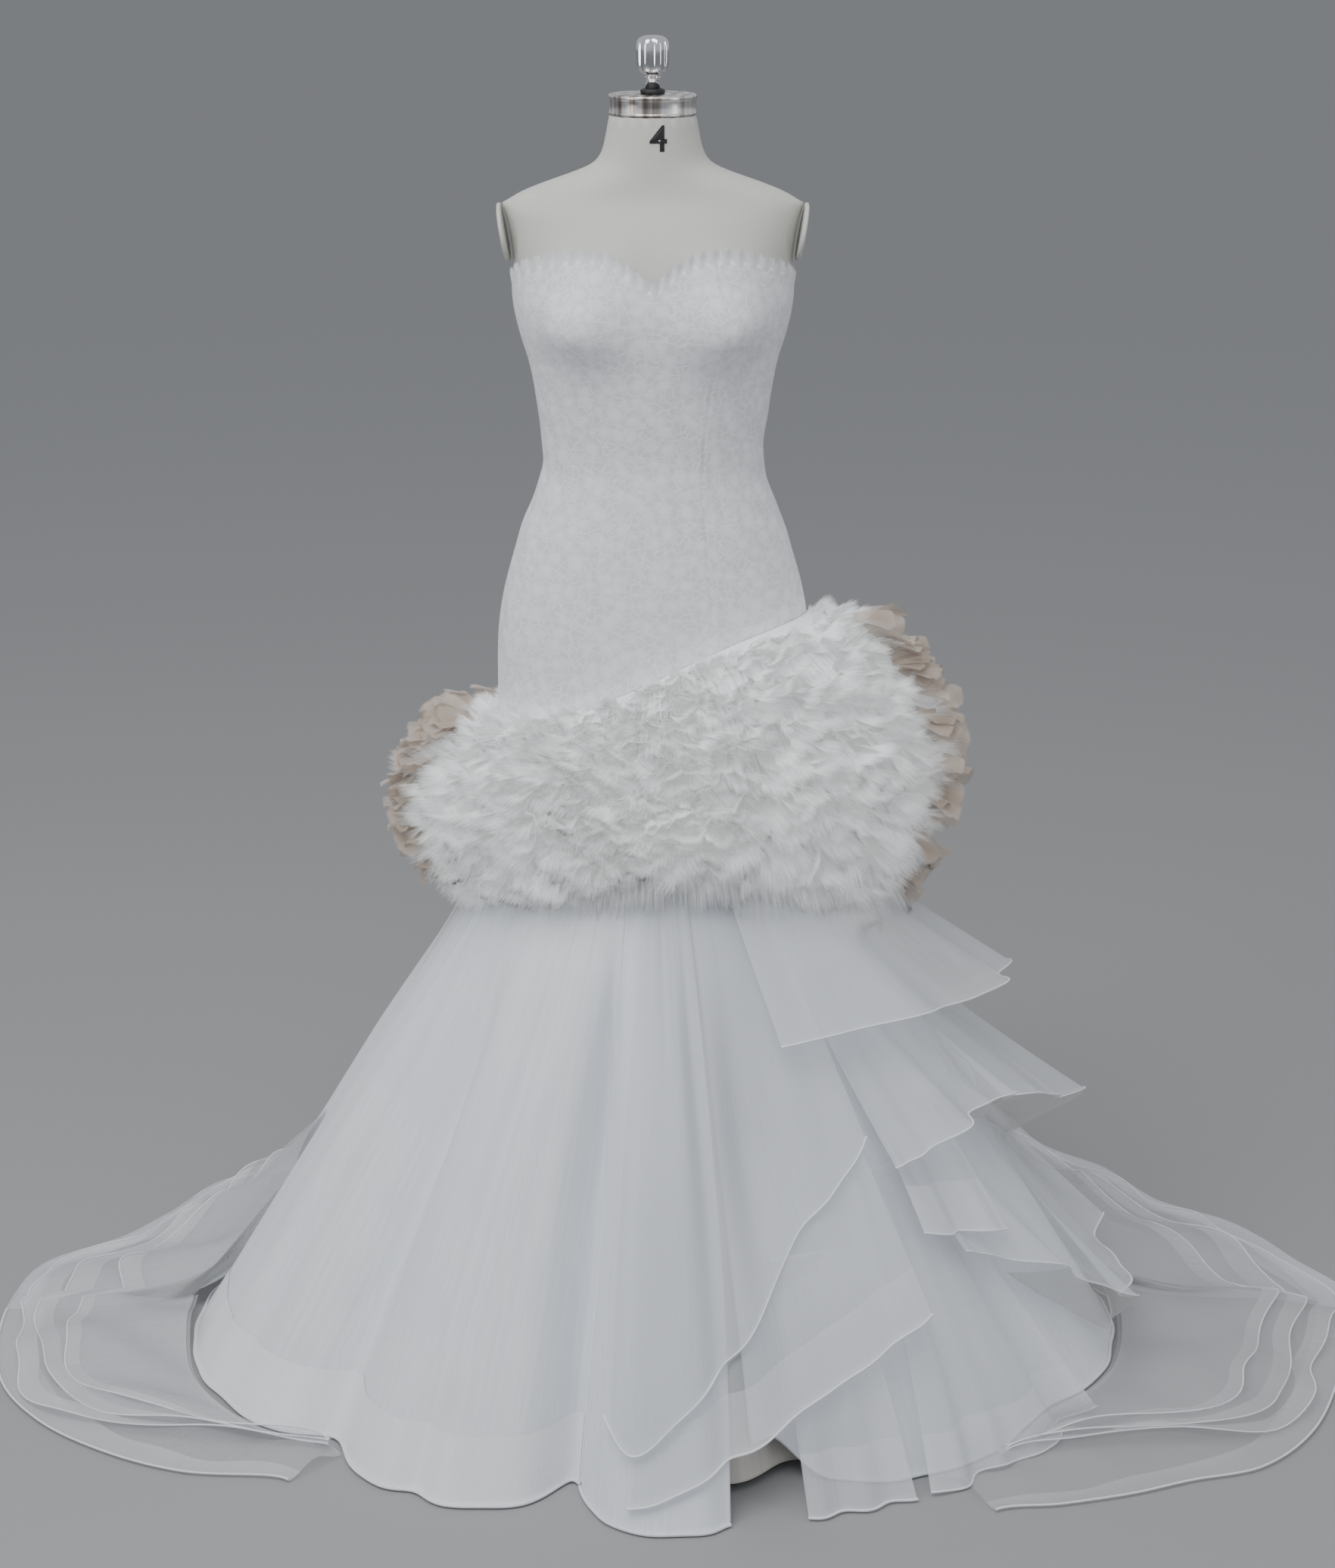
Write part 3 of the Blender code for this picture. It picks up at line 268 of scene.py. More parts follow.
def sheer_finish(name, colour, alpha, band_alpha, band_height):
    """Alpha rises from the open cloth to the band above the hem, and to solid on the cord."""
    finish, tree, shader = new_finish(name, colour, 0.55, Sheen_Weight=0.35, Sheen_Roughness=0.4)
    above_hem = hem_distance(tree)
    scaled = combine(tree, above_hem, None, "MULTIPLY", 5.0)
    steps = [(0.0, grey(0.95)), (0.004, grey(0.95)), (0.009, grey(band_alpha)),
             (band_height * 5.0 - 0.008, grey(band_alpha)), (band_height * 5.0, grey(alpha))]
    dense = ramp(tree, scaled, steps)
    threads = noise(tree, 1.0, 3.0, (210.0, 3.0, 1.0), "UV")
    cloudy = noise(tree, 9.0, 3.0)
    uneven = combine(tree, threads, cloudy, "ADD")
    uneven = ramp(tree, uneven, [(0.6, grey(0.86)), (1.4, grey(1.0))])
    strength = combine(tree, dense, uneven, "MULTIPLY")
    tree.links.new(strength, shader.inputs["Alpha"])
    tint = ramp(tree, dense, [(alpha, colour), (1.0, (0.90, 0.91, 0.93))])
    tree.links.new(tint, shader.inputs["Base Color"])
    return finish


sheer_finish_plain = sheer_finish("sheer_tulle", (0.83, 0.85, 0.885), 0.46, 0.46, 0.010)
sheer_finish_banded = sheer_finish("sheer_banded_tulle", (0.83, 0.85, 0.885), 0.43, 0.60, 0.075)
# The undersides of the flounces take a darker tulle: painted shade of the hollow under each flounce.
underside_shade_finish = sheer_finish("shaded_tulle", (0.66, 0.64, 0.61), 0.42, 0.42, 0.010)
train_finish = sheer_finish("train_tulle", (0.79, 0.79, 0.81), 0.30, 0.48, 0.060)
open_train_finish = sheer_finish("open_train_tulle", (0.78, 0.78, 0.80), 0.17, 0.34, 0.060)
print("sheer cloth ready")

# %% Frill tulle, peach organza and lining


def raw_edge_finish(name, colours, body, torn, fade, glow=0.0):
    """Gathered cloth that fades out in streaks over the last stretch before its raw edge.

    Light that many layers of tulle pass on to each other is missing between single sheets, so a
    faint glow stands for it.
    """
    finish, tree, shader = new_finish(name, colours[1], 0.85, Sheen_Weight=0.5, Sheen_Roughness=0.6)
    shader.inputs["Emission Color"].default_value = (*colours[1], 1.0)
    shader.inputs["Emission Strength"].default_value = glow
    colour = ramp(tree, noise(tree, 26.0, 4.0), [(0.3, colours[0]), (0.7, colours[1])])
    tree.links.new(colour, shader.inputs["Base Color"])
    streaks = noise(tree, 1.0, 3.0, (330.0, 14.0, 1.0), "UV")
    from_edge = combine(tree, hem_distance(tree), None, "MULTIPLY", 1.0 / fade)
    ragged = combine(tree, from_edge, combine(tree, streaks, None, "MULTIPLY", torn), "ADD")
    ragged = combine(tree, ragged, None, "SUBTRACT", 0.62 * torn)
    tree.links.new(ramp(tree, ragged, [(0.0, grey(0.0)), (1.0, grey(body))]), shader.inputs["Alpha"])
    return finish


frill_finish = raw_edge_finish("frill_tulle", ((0.88, 0.89, 0.885), (0.94, 0.945, 0.945)), 1.0, 1.4, 0.019, 0.12)
low_frill_finish = raw_edge_finish("low_frill_tulle", ((0.86, 0.87, 0.88), (0.92, 0.93, 0.94)), 0.90, 1.5, 0.028, 0.08)
petal_finish = raw_edge_finish("petal_tulle", ((0.88, 0.885, 0.875), (0.94, 0.945, 0.935)), 1.0, 0.9, 0.008, 0.12)
peach_finish = raw_edge_finish("peach_organza", ((0.44, 0.35, 0.28), (0.62, 0.52, 0.43)), 0.68, 0.5, 0.003, 0.02)

lining_finish, tree, shader = new_finish("satin_lining", (0.66, 0.63, 0.57), 0.5)
soft = noise(tree, 1.0, 3.0, (60.0, 4.0, 1.0), "UV")
colour = ramp(tree, soft, [(0.3, (0.60, 0.57, 0.51)), (0.7, (0.70, 0.67, 0.62))])
tree.links.new(colour, shader.inputs["Base Color"])
print("frill and lining cloth ready")

# %% [markdown]
# ### The form's finishes
# Linen on a dress form is a plain weave, so two fine waves cross each other. The neck cap is brushed
# nickel, and the light and dark vertical streaks in its colour are painted reflection, from noise that is
# stretched upwards. The knob is polished.

# %% Linen, metal, paint and rubber
linen_finish, tree, shader = new_finish("form_linen", (0.62, 0.61, 0.565), 0.9)
place = add_node(tree, "ShaderNodeTexCoord")
heights = []
for direction in ("X", "Z"):
    wave = add_node(tree, "ShaderNodeTexWave", wave_type="BANDS", bands_direction=direction)
    wave.inputs["Scale"].default_value = 260.0
    wave.inputs["Distortion"].default_value = 1.5
    wave.inputs["Detail"].default_value = 1.0
    tree.links.new(place.outputs["Object"], wave.inputs["Vector"])
    heights.append(wave.outputs["Fac"])
weave = combine(tree, heights[0], heights[1], "ADD")
colour = ramp(tree, weave, [(0.3, (0.53, 0.52, 0.475)), (1.6, (0.64, 0.63, 0.585))])
tree.links.new(colour, shader.inputs["Base Color"])
add_bump(tree, shader, weave, 0.25, 0.0004)

nickel_finish, tree, shader = new_finish("brushed_nickel", (0.62, 0.585, 0.55), 0.26, Metallic=1.0, Anisotropic=0.5)
# The cap's colour has light and dark vertical streaks: painted reflection of the room in the metal.
reflection_bands = noise(tree, 1.0, 3.0, (95.0, 60.0, 0.01))
colour = ramp(tree, reflection_bands, [(0.36, (0.16, 0.13, 0.11)), (0.47, (0.50, 0.45, 0.41)), (0.58, (0.90, 0.88, 0.86))])
tree.links.new(colour, shader.inputs["Base Color"])
fine = noise(tree, 1.0, 2.0, (1400.0, 1400.0, 20.0))
roughness = ramp(tree, fine, [(0.3, grey(0.20)), (0.7, grey(0.34))])
tree.links.new(roughness, shader.inputs["Roughness"])

chrome_finish, tree, shader = new_finish("polished_chrome", (0.78, 0.78, 0.80), 0.12, Metallic=1.0)
smudge = noise(tree, 90.0, 3.0)
roughness = ramp(tree, smudge, [(0.3, grey(0.08)), (0.7, grey(0.18))])
tree.links.new(roughness, shader.inputs["Roughness"])

paint_finish, tree, shader = new_finish("black_paint", (0.03, 0.03, 0.033), 0.42)
orange_peel = noise(tree, 350.0, 2.0)
add_bump(tree, shader, orange_peel, 0.1, 0.0003)
colour = ramp(tree, noise(tree, 20.0, 3.0), [(0.3, (0.025, 0.025, 0.028)), (0.7, (0.045, 0.045, 0.05))])
tree.links.new(colour, shader.inputs["Base Color"])

rubber_finish, tree, shader = new_finish("black_ring", (0.012, 0.012, 0.012), 0.55)
colour = ramp(tree, noise(tree, 400.0, 2.0), [(0.3, grey(0.008)), (0.7, grey(0.02))])
tree.links.new(colour, shader.inputs["Base Color"])

floor_finish, tree, shader = new_finish("studio_floor", (0.34, 0.34, 0.34), 0.9)
print("form and floor finishes ready")

# %% [markdown]
# ## The studio floor
# A wide plain disc, far larger than the view, so that no edge or corner shows behind the gown.

# %% Floor
floor_shape = bmesh.new()
bmesh.ops.create_circle(floor_shape, cap_ends=True, radius=60.0, segments=96)
floor_mesh = bpy.data.meshes.new("studio_floor")
floor_shape.to_mesh(floor_mesh)
floor_shape.free()
floor_mesh.materials.append(floor_finish)
floor = bpy.data.objects.new("studio_floor", floor_mesh)
bpy.context.scene.collection.objects.link(floor)
print("floor", round(floor.dimensions.x, 1), "m wide")

# %% [markdown]
# ## The gown's measures
# A turn is an angle in degrees about the form's axis, 0 at the centre front and positive towards
# the viewer's right. A table gives the half widths of the gown at each height, and a smooth
# curve runs between its rows. The same numbers made the solids, so the cloth lands on them.

# %% Tables of the gown's shape
SECTION_POWER = 2.1
SEAT = 0.0024
CUP_TURN = 38.0
CUP_HEIGHT = 1.212
CUP_DEPTH = 0.027
CUP_TURN_SPREAD = 19.0
CUP_SPREAD_ABOVE = 0.050
CUP_SPREAD_BELOW = 0.033
FOLD_TOP = 0.570
FOLD_FULL = 0.300
WAVES_A_TIER = 13
WAVE_HEIGHT = 0.0080
WAVE_SHIFT = 0.035
WAVE_SWELL = 0.35
TUBE_LOW = 0.160
TUBE_HIGH = 0.360
LAYER_STEP = 0.0060
LAYER_STEP_FULL = 0.540
FIRST_LAYER_STEPS = 2.15
LAYER_TOP = 0.598
OPENING_HEM_RISE = 0.055
OPENING_HEM_TURN = 26.0
OPENING_HEM_SPREAD = 10.0
TRAIN_SEAM_TURN = 88.0
TRAIN_BREAK = 0.200
TRAIN_SLOPE = 1.62
TRAIN_RIPPLES = 26.0
TRAIN_RIPPLE_HEIGHT = 0.018
RIPPLE_RISE = 3.0
RIPPLE_FALL = 2.5
RIPPLE_AT_EDGE = 0.25
TRAIN_FOLD_FADE = 1.6
TRAIN_SEAM_DROP = 0.9
TRAIN_SEAM_SPREAD = 11.0
TRAIN_SIDE_LEFT_TURN = -44.0
TRAIN_SIDE_RIGHT_TURN = 38.0
TRAIN_SIDE_GAP = 0.0035
TRAIN_SIDE_LIFT = 0.012
TRAIN_SIDE_LIFT_TURN = 72.0
# Horizontal sections through the outside of the gown
# Columns: height, side, front, back
SECTIONS = (
    (0.000, 0.555, 0.480, 0.530),
    (0.100, 0.492, 0.432, 0.475),
    (0.200, 0.430, 0.378, 0.415),
    (0.300, 0.368, 0.322, 0.352),
    (0.400, 0.306, 0.265, 0.290),
    (0.500, 0.245, 0.208, 0.228),
    (0.550, 0.215, 0.178, 0.195),
    (0.600, 0.195, 0.152, 0.168),
    (0.660, 0.183, 0.133, 0.148),
    (0.743, 0.178, 0.119, 0.130),
    (0.850, 0.1765, 0.113, 0.126),
    (0.905, 0.169, 0.108, 0.120),
    (0.975, 0.1495, 0.100, 0.103),
    (1.027, 0.129, 0.093, 0.088),
    (1.063, 0.1225, 0.090, 0.082),
    (1.110, 0.127, 0.094, 0.083),
    (1.164, 0.136, 0.101, 0.086),
    (1.200, 0.1465, 0.106, 0.089),
    (1.231, 0.1530, 0.107, 0.090),
    (1.262, 0.1545, 0.103, 0.088),
    (1.300, 0.1560, 0.096, 0.085),
)
# Folds of the skirt: a negative depth is a valley, a positive one is a ridge
# Columns: turn at top, turn at hem, depth at hem, spread
FOLDS = (
    (-74.0, -70.0, 0.014, 11.0),
    (-54.0, -47.0, -0.034, 6.5),
    (-32.0, -29.0, 0.016, 11.0),
    (-14.0, -11.0, -0.050, 5.0),
    (28.0, 22.0, -0.052, 9.0),
    (42.0, 40.0, -0.006, 8.0),
    (58.0, 58.0, -0.022, 7.0),
    (76.0, 76.0, 0.008, 8.0),
    (98.0, 100.0, -0.020, 7.0),
    (-97.0, -101.0, -0.022, 7.0),
    (-116.0, -119.0, 0.018, 8.0),
    (-133.0, -137.0, -0.028, 7.0),
    (-150.0, -153.0, 0.020, 8.0),
    (-166.0, -168.0, -0.024, 6.0),
    (116.0, 118.0, 0.004, 8.0),
    (132.0, 134.0, -0.028, 7.0),
    (148.0, 150.0, 0.022, 8.0),
    (165.0, 167.0, -0.024, 6.0),
)
# Neckline and bodice seams
# Columns: turn, height
NECKLINE = (
    (-180.0, 1.214),
    (-150.0, 1.218),
    (-120.0, 1.236),
    (-88.0, 1.259),
    (-66.0, 1.280),
    (-44.0, 1.292),
    (-26.0, 1.289),
    (-12.0, 1.275),
    (0.0, 1.261),
    (12.0, 1.275),
    (26.0, 1.289),
    (44.0, 1.292),
    (66.0, 1.280),
    (88.0, 1.259),
    (120.0, 1.236),
    (150.0, 1.218),
    (180.0, 1.214),
)
# Frill band: where it starts and ends, and how far it stands out from the body
# Columns: turn, upper edge, lower edge, stand out
FRILL_PATH = (
    (-180.0, 0.780, 0.545, 0.105),
    (-140.0, 0.765, 0.550, 0.105),
    (-105.0, 0.765, 0.562, 0.110),
    (-85.0, 0.770, 0.575, 0.108),
    (-62.0, 0.780, 0.595, 0.085),
    (-32.0, 0.803, 0.595, 0.062),
    (0.0, 0.833, 0.602, 0.066),
    (30.0, 0.862, 0.596, 0.078),
    (52.0, 0.880, 0.575, 0.110),
    (72.0, 0.890, 0.545, 0.150),
    (90.0, 0.888, 0.525, 0.165),
    (110.0, 0.870, 0.525, 0.150),
    (145.0, 0.820, 0.535, 0.115),
    (180.0, 0.780, 0.545, 0.105),
)
# Columns: name, sewn at, hem at, reach
TIERS = (
    ("frill_tier_1", 0.02, 0.20, 0.62),
    ("frill_tier_2", 0.11, 0.37, 0.84),
    ("frill_tier_3", 0.21, 0.54, 1.00),
    ("frill_tier_4", 0.32, 0.70, 1.04),
    ("frill_tier_5", 0.44, 0.86, 1.00),
    ("frill_tier_6", 0.57, 1.00, 0.86),
)
# Centre front tube, measured out from the skirt's section at the hem
# Columns: turn, out above, out below
TUBE = (
    (-10.5, -0.040, -0.045),
    (-8.0, -0.004, -0.010),
    (-5.5, 0.022, 0.020),
    (-2.0, 0.030, 0.035),
    (4.0, 0.034, 0.040),
    (9.5, 0.030, 0.040),
    (14.0, 0.010, 0.037),
    (19.0, -0.014, 0.035),
    (25.0, -0.010, 0.036),
    (32.0, 0.008, 0.040),
    (41.0, 0.020, 0.040),
    (50.0, 0.022, 0.030),
)
# Hems of the two long layers over the centre front
# Columns: turn, hem height
FIRST_LAYER_HEM = (
    (-6.5, 0.105),
    (-2.5, 0.080),
    (3.0, 0.112),
    (9.0, 0.152),
    (18.0, 0.219),
    (25.0, 0.267),
    (34.0, 0.305),
    (42.0, 0.345),
)
SECOND_LAYER_HEM = (
    (-3.0, 0.026),
    (1.0, 0.036),
    (10.4, 0.070),
    (21.0, 0.115),
    (33.0, 0.154),
    (41.0, 0.174),
)
# Flounces that cascade down the right: each row is a station along the flounce
# Columns: top turn, hem turn, hem radius, hem height
FLOUNCES = {
    "flounce_1": (
        (28.0, 29.0, 0.284, 0.448),
        (40.0, 41.0, 0.330, 0.466),
        (52.0, 54.0, 0.372, 0.476),
        (64.0, 67.0, 0.396, 0.468),
        (76.0, 80.0, 0.414, 0.458),
        (87.0, 91.0, 0.417, 0.447),
        (98.0, 100.0, 0.398, 0.420),
        (109.0, 111.0, 0.376, 0.404),
        (121.0, 124.0, 0.380, 0.418),
        (134.0, 138.0, 0.362, 0.432),
        (146.0, 150.0, 0.318, 0.440),
    ),
    "flounce_2": (
        (44.5, 43.5, 0.380, 0.314),
        (50.0, 49.0, 0.414, 0.334),
        (57.0, 57.0, 0.426, 0.358),
        (66.0, 66.0, 0.434, 0.356),
        (74.0, 73.0, 0.446, 0.338),
        (82.0, 84.0, 0.486, 0.300),
        (92.0, 95.0, 0.512, 0.262),
        (102.0, 105.0, 0.498, 0.222),
        (112.0, 115.0, 0.468, 0.205),
        (124.0, 127.0, 0.452, 0.226),
        (136.0, 139.0, 0.414, 0.246),
    ),
    "flounce_3": (
        (47.0, 45.5, 0.418, 0.243),
        (50.5, 49.0, 0.438, 0.238),
        (54.0, 52.5, 0.436, 0.232),
        (57.5, 56.0, 0.456, 0.226),
        (61.0, 59.5, 0.470, 0.220),
    ),
    "flounce_4": (
        (52.0, 51.0, 0.440, 0.212),
        (57.0, 56.5, 0.466, 0.196),
        (62.0, 62.5, 0.512, 0.172),
        (67.0, 68.5, 0.556, 0.132),
        (72.0, 73.0, 0.582, 0.096),
        (78.0, 79.0, 0.574, 0.080),
        (84.0, 86.0, 0.556, 0.084),
        (92.0, 94.0, 0.548, 0.098),
    ),
    "flounce_5": (
        (42.0, 34.5, 0.528, 0.0030),
        (44.0, 39.0, 0.548, 0.0030),
        (46.5, 43.5, 0.534, 0.0030),
        (49.0, 48.0, 0.554, 0.0030),
        (51.5, 52.5, 0.562, 0.0030),
        (54.0, 57.5, 0.548, 0.0030),
        (57.0, 63.0, 0.566, 0.0030),
    ),
}
# Plan outline of the train on the floor
# Columns: turn, radius
TRAIN_OUTLINE = (
    (-180.0, 0.860),
    (-166.0, 0.845),
    (-153.0, 0.800),
    (-143.0, 0.724),
    (-134.0, 0.642),
    (-126.0, 0.622),
    (-119.0, 0.668),
    (-110.0, 0.678),
    (-103.0, 0.708),
    (-97.0, 0.775),
    (-91.0, 0.792),
    (-84.0, 0.796),
    (-75.0, 0.788),
    (-68.0, 0.760),
    (-61.0, 0.716),
    (-53.0, 0.656),
    (-44.0, 0.575),
    (38.0, 0.600),
    (44.0, 0.640),
    (50.0, 0.684),
    (55.0, 0.722),
    (60.0, 0.776),
    (67.0, 0.808),
    (78.0, 0.828),
    (90.0, 0.862),
    (97.0, 0.818),
    (105.0, 0.778),
    (112.0, 0.716),
    (121.0, 0.710),
    (129.0, 0.690),
    (137.0, 0.728),
    (146.0, 0.786),
    (156.0, 0.826),
    (168.0, 0.850),
    (180.0, 0.860),
)
print("tables ready")

# %% Curves through the tables


def smooth_value(table, place, column):
    """Catmull-Rom curve through one column of a table whose first column rises."""
    last = len(table) - 1
    if place <= table[0][0]:
        return table[0][column]
    if place >= table[last][0]:
        return table[last][column]
    row = 0
    while table[row + 1][0] < place:
        row += 1
    before = table[max(row - 1, 0)]
    start = table[row]
    end = table[row + 1]
    after = table[min(row + 2, last)]
    span = end[0] - start[0]
    along = (place - start[0]) / span
    slope_start = (end[column] - before[column]) / (end[0] - before[0]) * span
    slope_end = (after[column] - start[column]) / (after[0] - start[0]) * span
    square = along * along
    cube = square * along
    return (
        (2.0 * cube - 3.0 * square + 1.0) * start[column]
        + (cube - 2.0 * square + along) * slope_start
        + (3.0 * square - 2.0 * cube) * end[column]
        + (cube - square) * slope_end
    )


def ease(value):
    value = min(1.0, max(0.0, value))
    return value * value * (3.0 - 2.0 * value)


def bell(distance, spread):
    return math.exp(-((distance / spread) ** 2))


def around(turn, radius, height):
    angle = math.radians(turn)
    return Vector((radius * math.sin(angle), -radius * math.cos(angle), height))


def wave(turn, period, start=0.0):
    return math.sin(2.0 * math.pi * turn / period + start)


def section_radius(turn, side, front, back):
    angle = math.radians(turn)
    depth = front if math.cos(angle) > 0.0 else back
    across = abs(math.sin(angle) / side) ** SECTION_POWER
    along = abs(math.cos(angle) / depth) ** SECTION_POWER
    return (across + along) ** (-1.0 / SECTION_POWER)


def plain_radius(turn, height):
    """Outside of the gown without the skirt's folds, the cups of the bust included."""
    radius = section_radius(turn, *(smooth_value(SECTIONS, height, column) for column in (1, 2, 3)))
    spread = CUP_SPREAD_ABOVE if height > CUP_HEIGHT else CUP_SPREAD_BELOW
    sides = bell(turn + CUP_TURN, CUP_TURN_SPREAD) + bell(turn - CUP_TURN, CUP_TURN_SPREAD)
    return radius + CUP_DEPTH * bell(height - CUP_HEIGHT, spread) * sides


def fold_growth(height):
    return ease((FOLD_TOP - height) / (FOLD_TOP - FOLD_FULL))


def skirt_radius(turn, height):
    along = (FOLD_TOP - height) / FOLD_TOP
    depth = 0.0
    for top_turn, hem_turn, hem_depth, spread in FOLDS:
        centre = top_turn + (hem_turn - top_turn) * along
        depth += hem_depth * bell((turn - centre + 180.0) % 360.0 - 180.0, spread)
    return plain_radius(turn, height) + depth * fold_growth(height)


def tube_radius(turn, height):
    above = smooth_value(TUBE, turn, 1)
    below = smooth_value(TUBE, turn, 2)
    low = ease((TUBE_HIGH - height) / (TUBE_HIGH - TUBE_LOW))
    return plain_radius(turn, height) + (above + (below - above) * low) * fold_growth(height)


print("skirt radius at the side, near the floor:", round(skirt_radius(90.0, 0.05), 3), "m")

# %% [markdown]
# ## A helper that lays cloth
# Each sheet of cloth starts as a flat grid, as cloth does, and a rule moves every point of it to
# its place on the gown. Past the last row the grid can curl into a thin roll, which is how an
# organza flounce is finished: a cord is sewn into the edge, so the edge catches the light.
# The UV map keeps where each point lay on the flat cloth, in metres, counted up from the hem.

# %% Cloth from a grid
CORD_ROWS = 6
CORD_TURN = 5.2
LEAST_HEIGHT = 0.0006


def finish_object(name, shape, finish, node_names, smooth=True):
    mesh = bpy.data.meshes.new(name)
    shape.to_mesh(mesh)
    shape.free()
    mesh.materials.append(finish)
    if smooth:
        mesh.shade_smooth()
    piece = bpy.data.objects.new(name, mesh)
    bpy.context.scene.collection.objects.link(piece)
    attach(piece, "root")
    if node_names:
        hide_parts(*node_names)
    return piece


def corded_point(place, across, turn, radius):
    """A point on the cord in the hem: the cloth curls outwards round it."""
    hem = place(across, 1.0)
    down = (hem - place(across, 0.985)).normalized()
    step = 0.002
    along = (place(min(across + step, 1.0), 1.0) - place(max(across - step, 0.0), 1.0)).normalized()
    outward = down.cross(along).normalized()
    centre = hem + outward * radius
    return centre - outward * math.cos(turn) * radius + down * math.sin(turn) * radius


def cloth_grid(columns, rows, place, flat, cord=0.0, shape=None, closed=False):
    """Adds one sheet to a bmesh: place(across, down) puts each point of the flat grid."""
    if shape is None:
        shape = bmesh.new()
    cloth = shape.loops.layers.uv.get("cloth") or shape.loops.layers.uv.new("cloth")
    cord_rows = CORD_ROWS if cord else 0
    before = len(shape.verts)
    made = bmesh.ops.create_grid(shape, x_segments=columns, y_segments=rows + cord_rows, size=0.5)["verts"]
    spots = {}
    for vert in made:
        column = round((vert.co.x + 0.5) * columns)
        row = round((0.5 - vert.co.y) * (rows + cord_rows))
        across = column / columns
        down = min(row / rows, 1.0)
        if row > rows:
            point = corded_point(place, across, CORD_TURN * (row - rows) / cord_rows, cord)
        else:
            point = place(across, down)
        point.z = max(point.z, LEAST_HEIGHT)
        vert.co = point
        spots[vert] = (across * flat[0], (1.0 - down) * flat[1])
    for face in {face for vert in made for face in vert.link_faces}:
        for loop in face.loops:
            loop[cloth].uv = spots[loop.vert]
    if closed:
        bmesh.ops.remove_doubles(shape, verts=made, dist=0.00001)
    assert len(made) == (columns + 1) * (rows + cord_rows + 1), (len(made), columns, rows, before)
    return shape


def cloth_area(piece):
    return sum(polygon.area for polygon in piece.data.polygons)


def lay_cloth(name, columns, rows, place, flat, finish, node_names,
              cord=0.0, closed=False, thick=0.0):
    shape = cloth_grid(columns, rows, place, flat, cord, closed=closed)
    piece = finish_object(name, shape, finish, node_names)
    if thick:
        wall = piece.modifiers.new("thickness", "SOLIDIFY")
        wall.thickness = thick
        wall.offset = -1.0
    return piece


print("cloth helper ready")

# %% [markdown]
# ## The dress form
# A dress form is a padded torso under linen, with a cap on the neck and a knob to lift it by.
# The torso's solid already has the right sections, so a merged copy of it is smoothed by a
# Subdivision Surface. The cap and the knob are turned on a lathe: rings of the profile are joined.

# %% Torso
SHARP_CORNER = 0.75
CORNER_CREASE = 0.85


def merged_copy(node_name, name, finish, levels):
    shape = bmesh.new()
    shape.from_mesh(nodes[node_name].data)
    bmesh.ops.remove_doubles(shape, verts=shape.verts, dist=0.00001)
    bmesh.ops.join_triangles(shape, faces=shape.faces, angle_face_threshold=0.7, angle_shape_threshold=1.2)
    crease = shape.edges.layers.float.new("crease_edge")
    for edge in shape.edges:
        if edge.calc_face_angle(0.0) > SHARP_CORNER:
            edge[crease] = CORNER_CREASE
    piece = finish_object(name, shape, finish, [node_name])
    if levels:
        rounding = piece.modifiers.new("rounding", "SUBSURF")
        rounding.levels = levels
        rounding.render_levels = levels
    print(name, len(piece.data.polygons), "faces before rounding")
    return piece


torso = merged_copy("form_torso", "linen_torso", linen_finish, 2)
for side in ("left", "right"):
    merged_copy("form_arm_plate_" + side, "linen_arm_plate_" + side, linen_finish, 1)

# %% Turned pieces


def turned_shape(profile, sides, flutes=0, flute_depth=0.0):
    shape = bmesh.new()
    rings = []
    for radius, height in profile:
        spot = Matrix.Translation((0.0, 0.0, height))
        ring = bmesh.ops.create_circle(shape, cap_ends=False, radius=radius, segments=sides, matrix=spot)["verts"]
        if flutes:
            for vert in ring:
                turn = math.atan2(vert.co.x, -vert.co.y)
                dip = (0.5 + 0.5 * math.cos(turn * flutes)) ** 2 * flute_depth * (radius / profile[len(profile) // 2][0]) ** 4
                vert.co.x *= 1.0 - dip / radius
                vert.co.y *= 1.0 - dip / radius
        rings.append(ring)
    for lower, upper in zip(rings, rings[1:]):
        edges = [edge for edge in shape.edges if all(vert in lower or vert in upper for vert in edge.verts)]
        bmesh.ops.bridge_loops(shape, edges=edges)
    for ring in (rings[0], rings[-1]):
        bmesh.ops.contextual_create(shape, geom=ring)
    bmesh.ops.recalc_face_normals(shape, faces=shape.faces)
    return shape


CAP_TOP = 1.4553
cap_profile = ((0.0462, 1.4336), (0.0476, 1.4342), (0.0478, 1.4360), (0.0470, 1.4368), (0.0470, 1.4500),
               (0.0478, 1.4508), (0.0479, 1.4535), (0.0474, 1.4548), (0.0455, CAP_TOP), (0.0200, CAP_TOP + 0.0002))
cap = finish_object("nickel_neck_cap", turned_shape(cap_profile, 96), nickel_finish, ["form_neck_cap"])
cap.modifiers.new("edges", "BEVEL").width = 0.0003
ring_profile = ((0.0128, 1.4556), (0.0136, 1.4572), (0.0134, 1.4590), (0.0110, 1.4604), (0.0106, 1.4606))
finish_object("knob_ring", turned_shape(ring_profile, 48), rubber_finish, ["form_knob_ring"])
knob_profile = ((0.0080, 1.4608), (0.0080, 1.4700), (0.0092, 1.4712), (0.0092, 1.4730), (0.0084, 1.4742),
                (0.0104, 1.4758), (0.0140, 1.4778), (0.0166, 1.4810), (0.0177, 1.4850), (0.0180, 1.4900),
                (0.0180, 1.5000), (0.0178, 1.5055), (0.0170, 1.5098), (0.0150, 1.5130), (0.0115, 1.5150),
                (0.0070, 1.5159), (0.0020, 1.5162))
finish_object("chrome_knob", turned_shape(knob_profile, 96, flutes=7, flute_depth=0.0026), chrome_finish,
              ["form_knob"])
for name, finish in (("form_pole", paint_finish), ("form_base", paint_finish)):
    nodes[name].data.materials.clear()
    nodes[name].data.materials.append(finish)
print("cap, ring and knob turned")

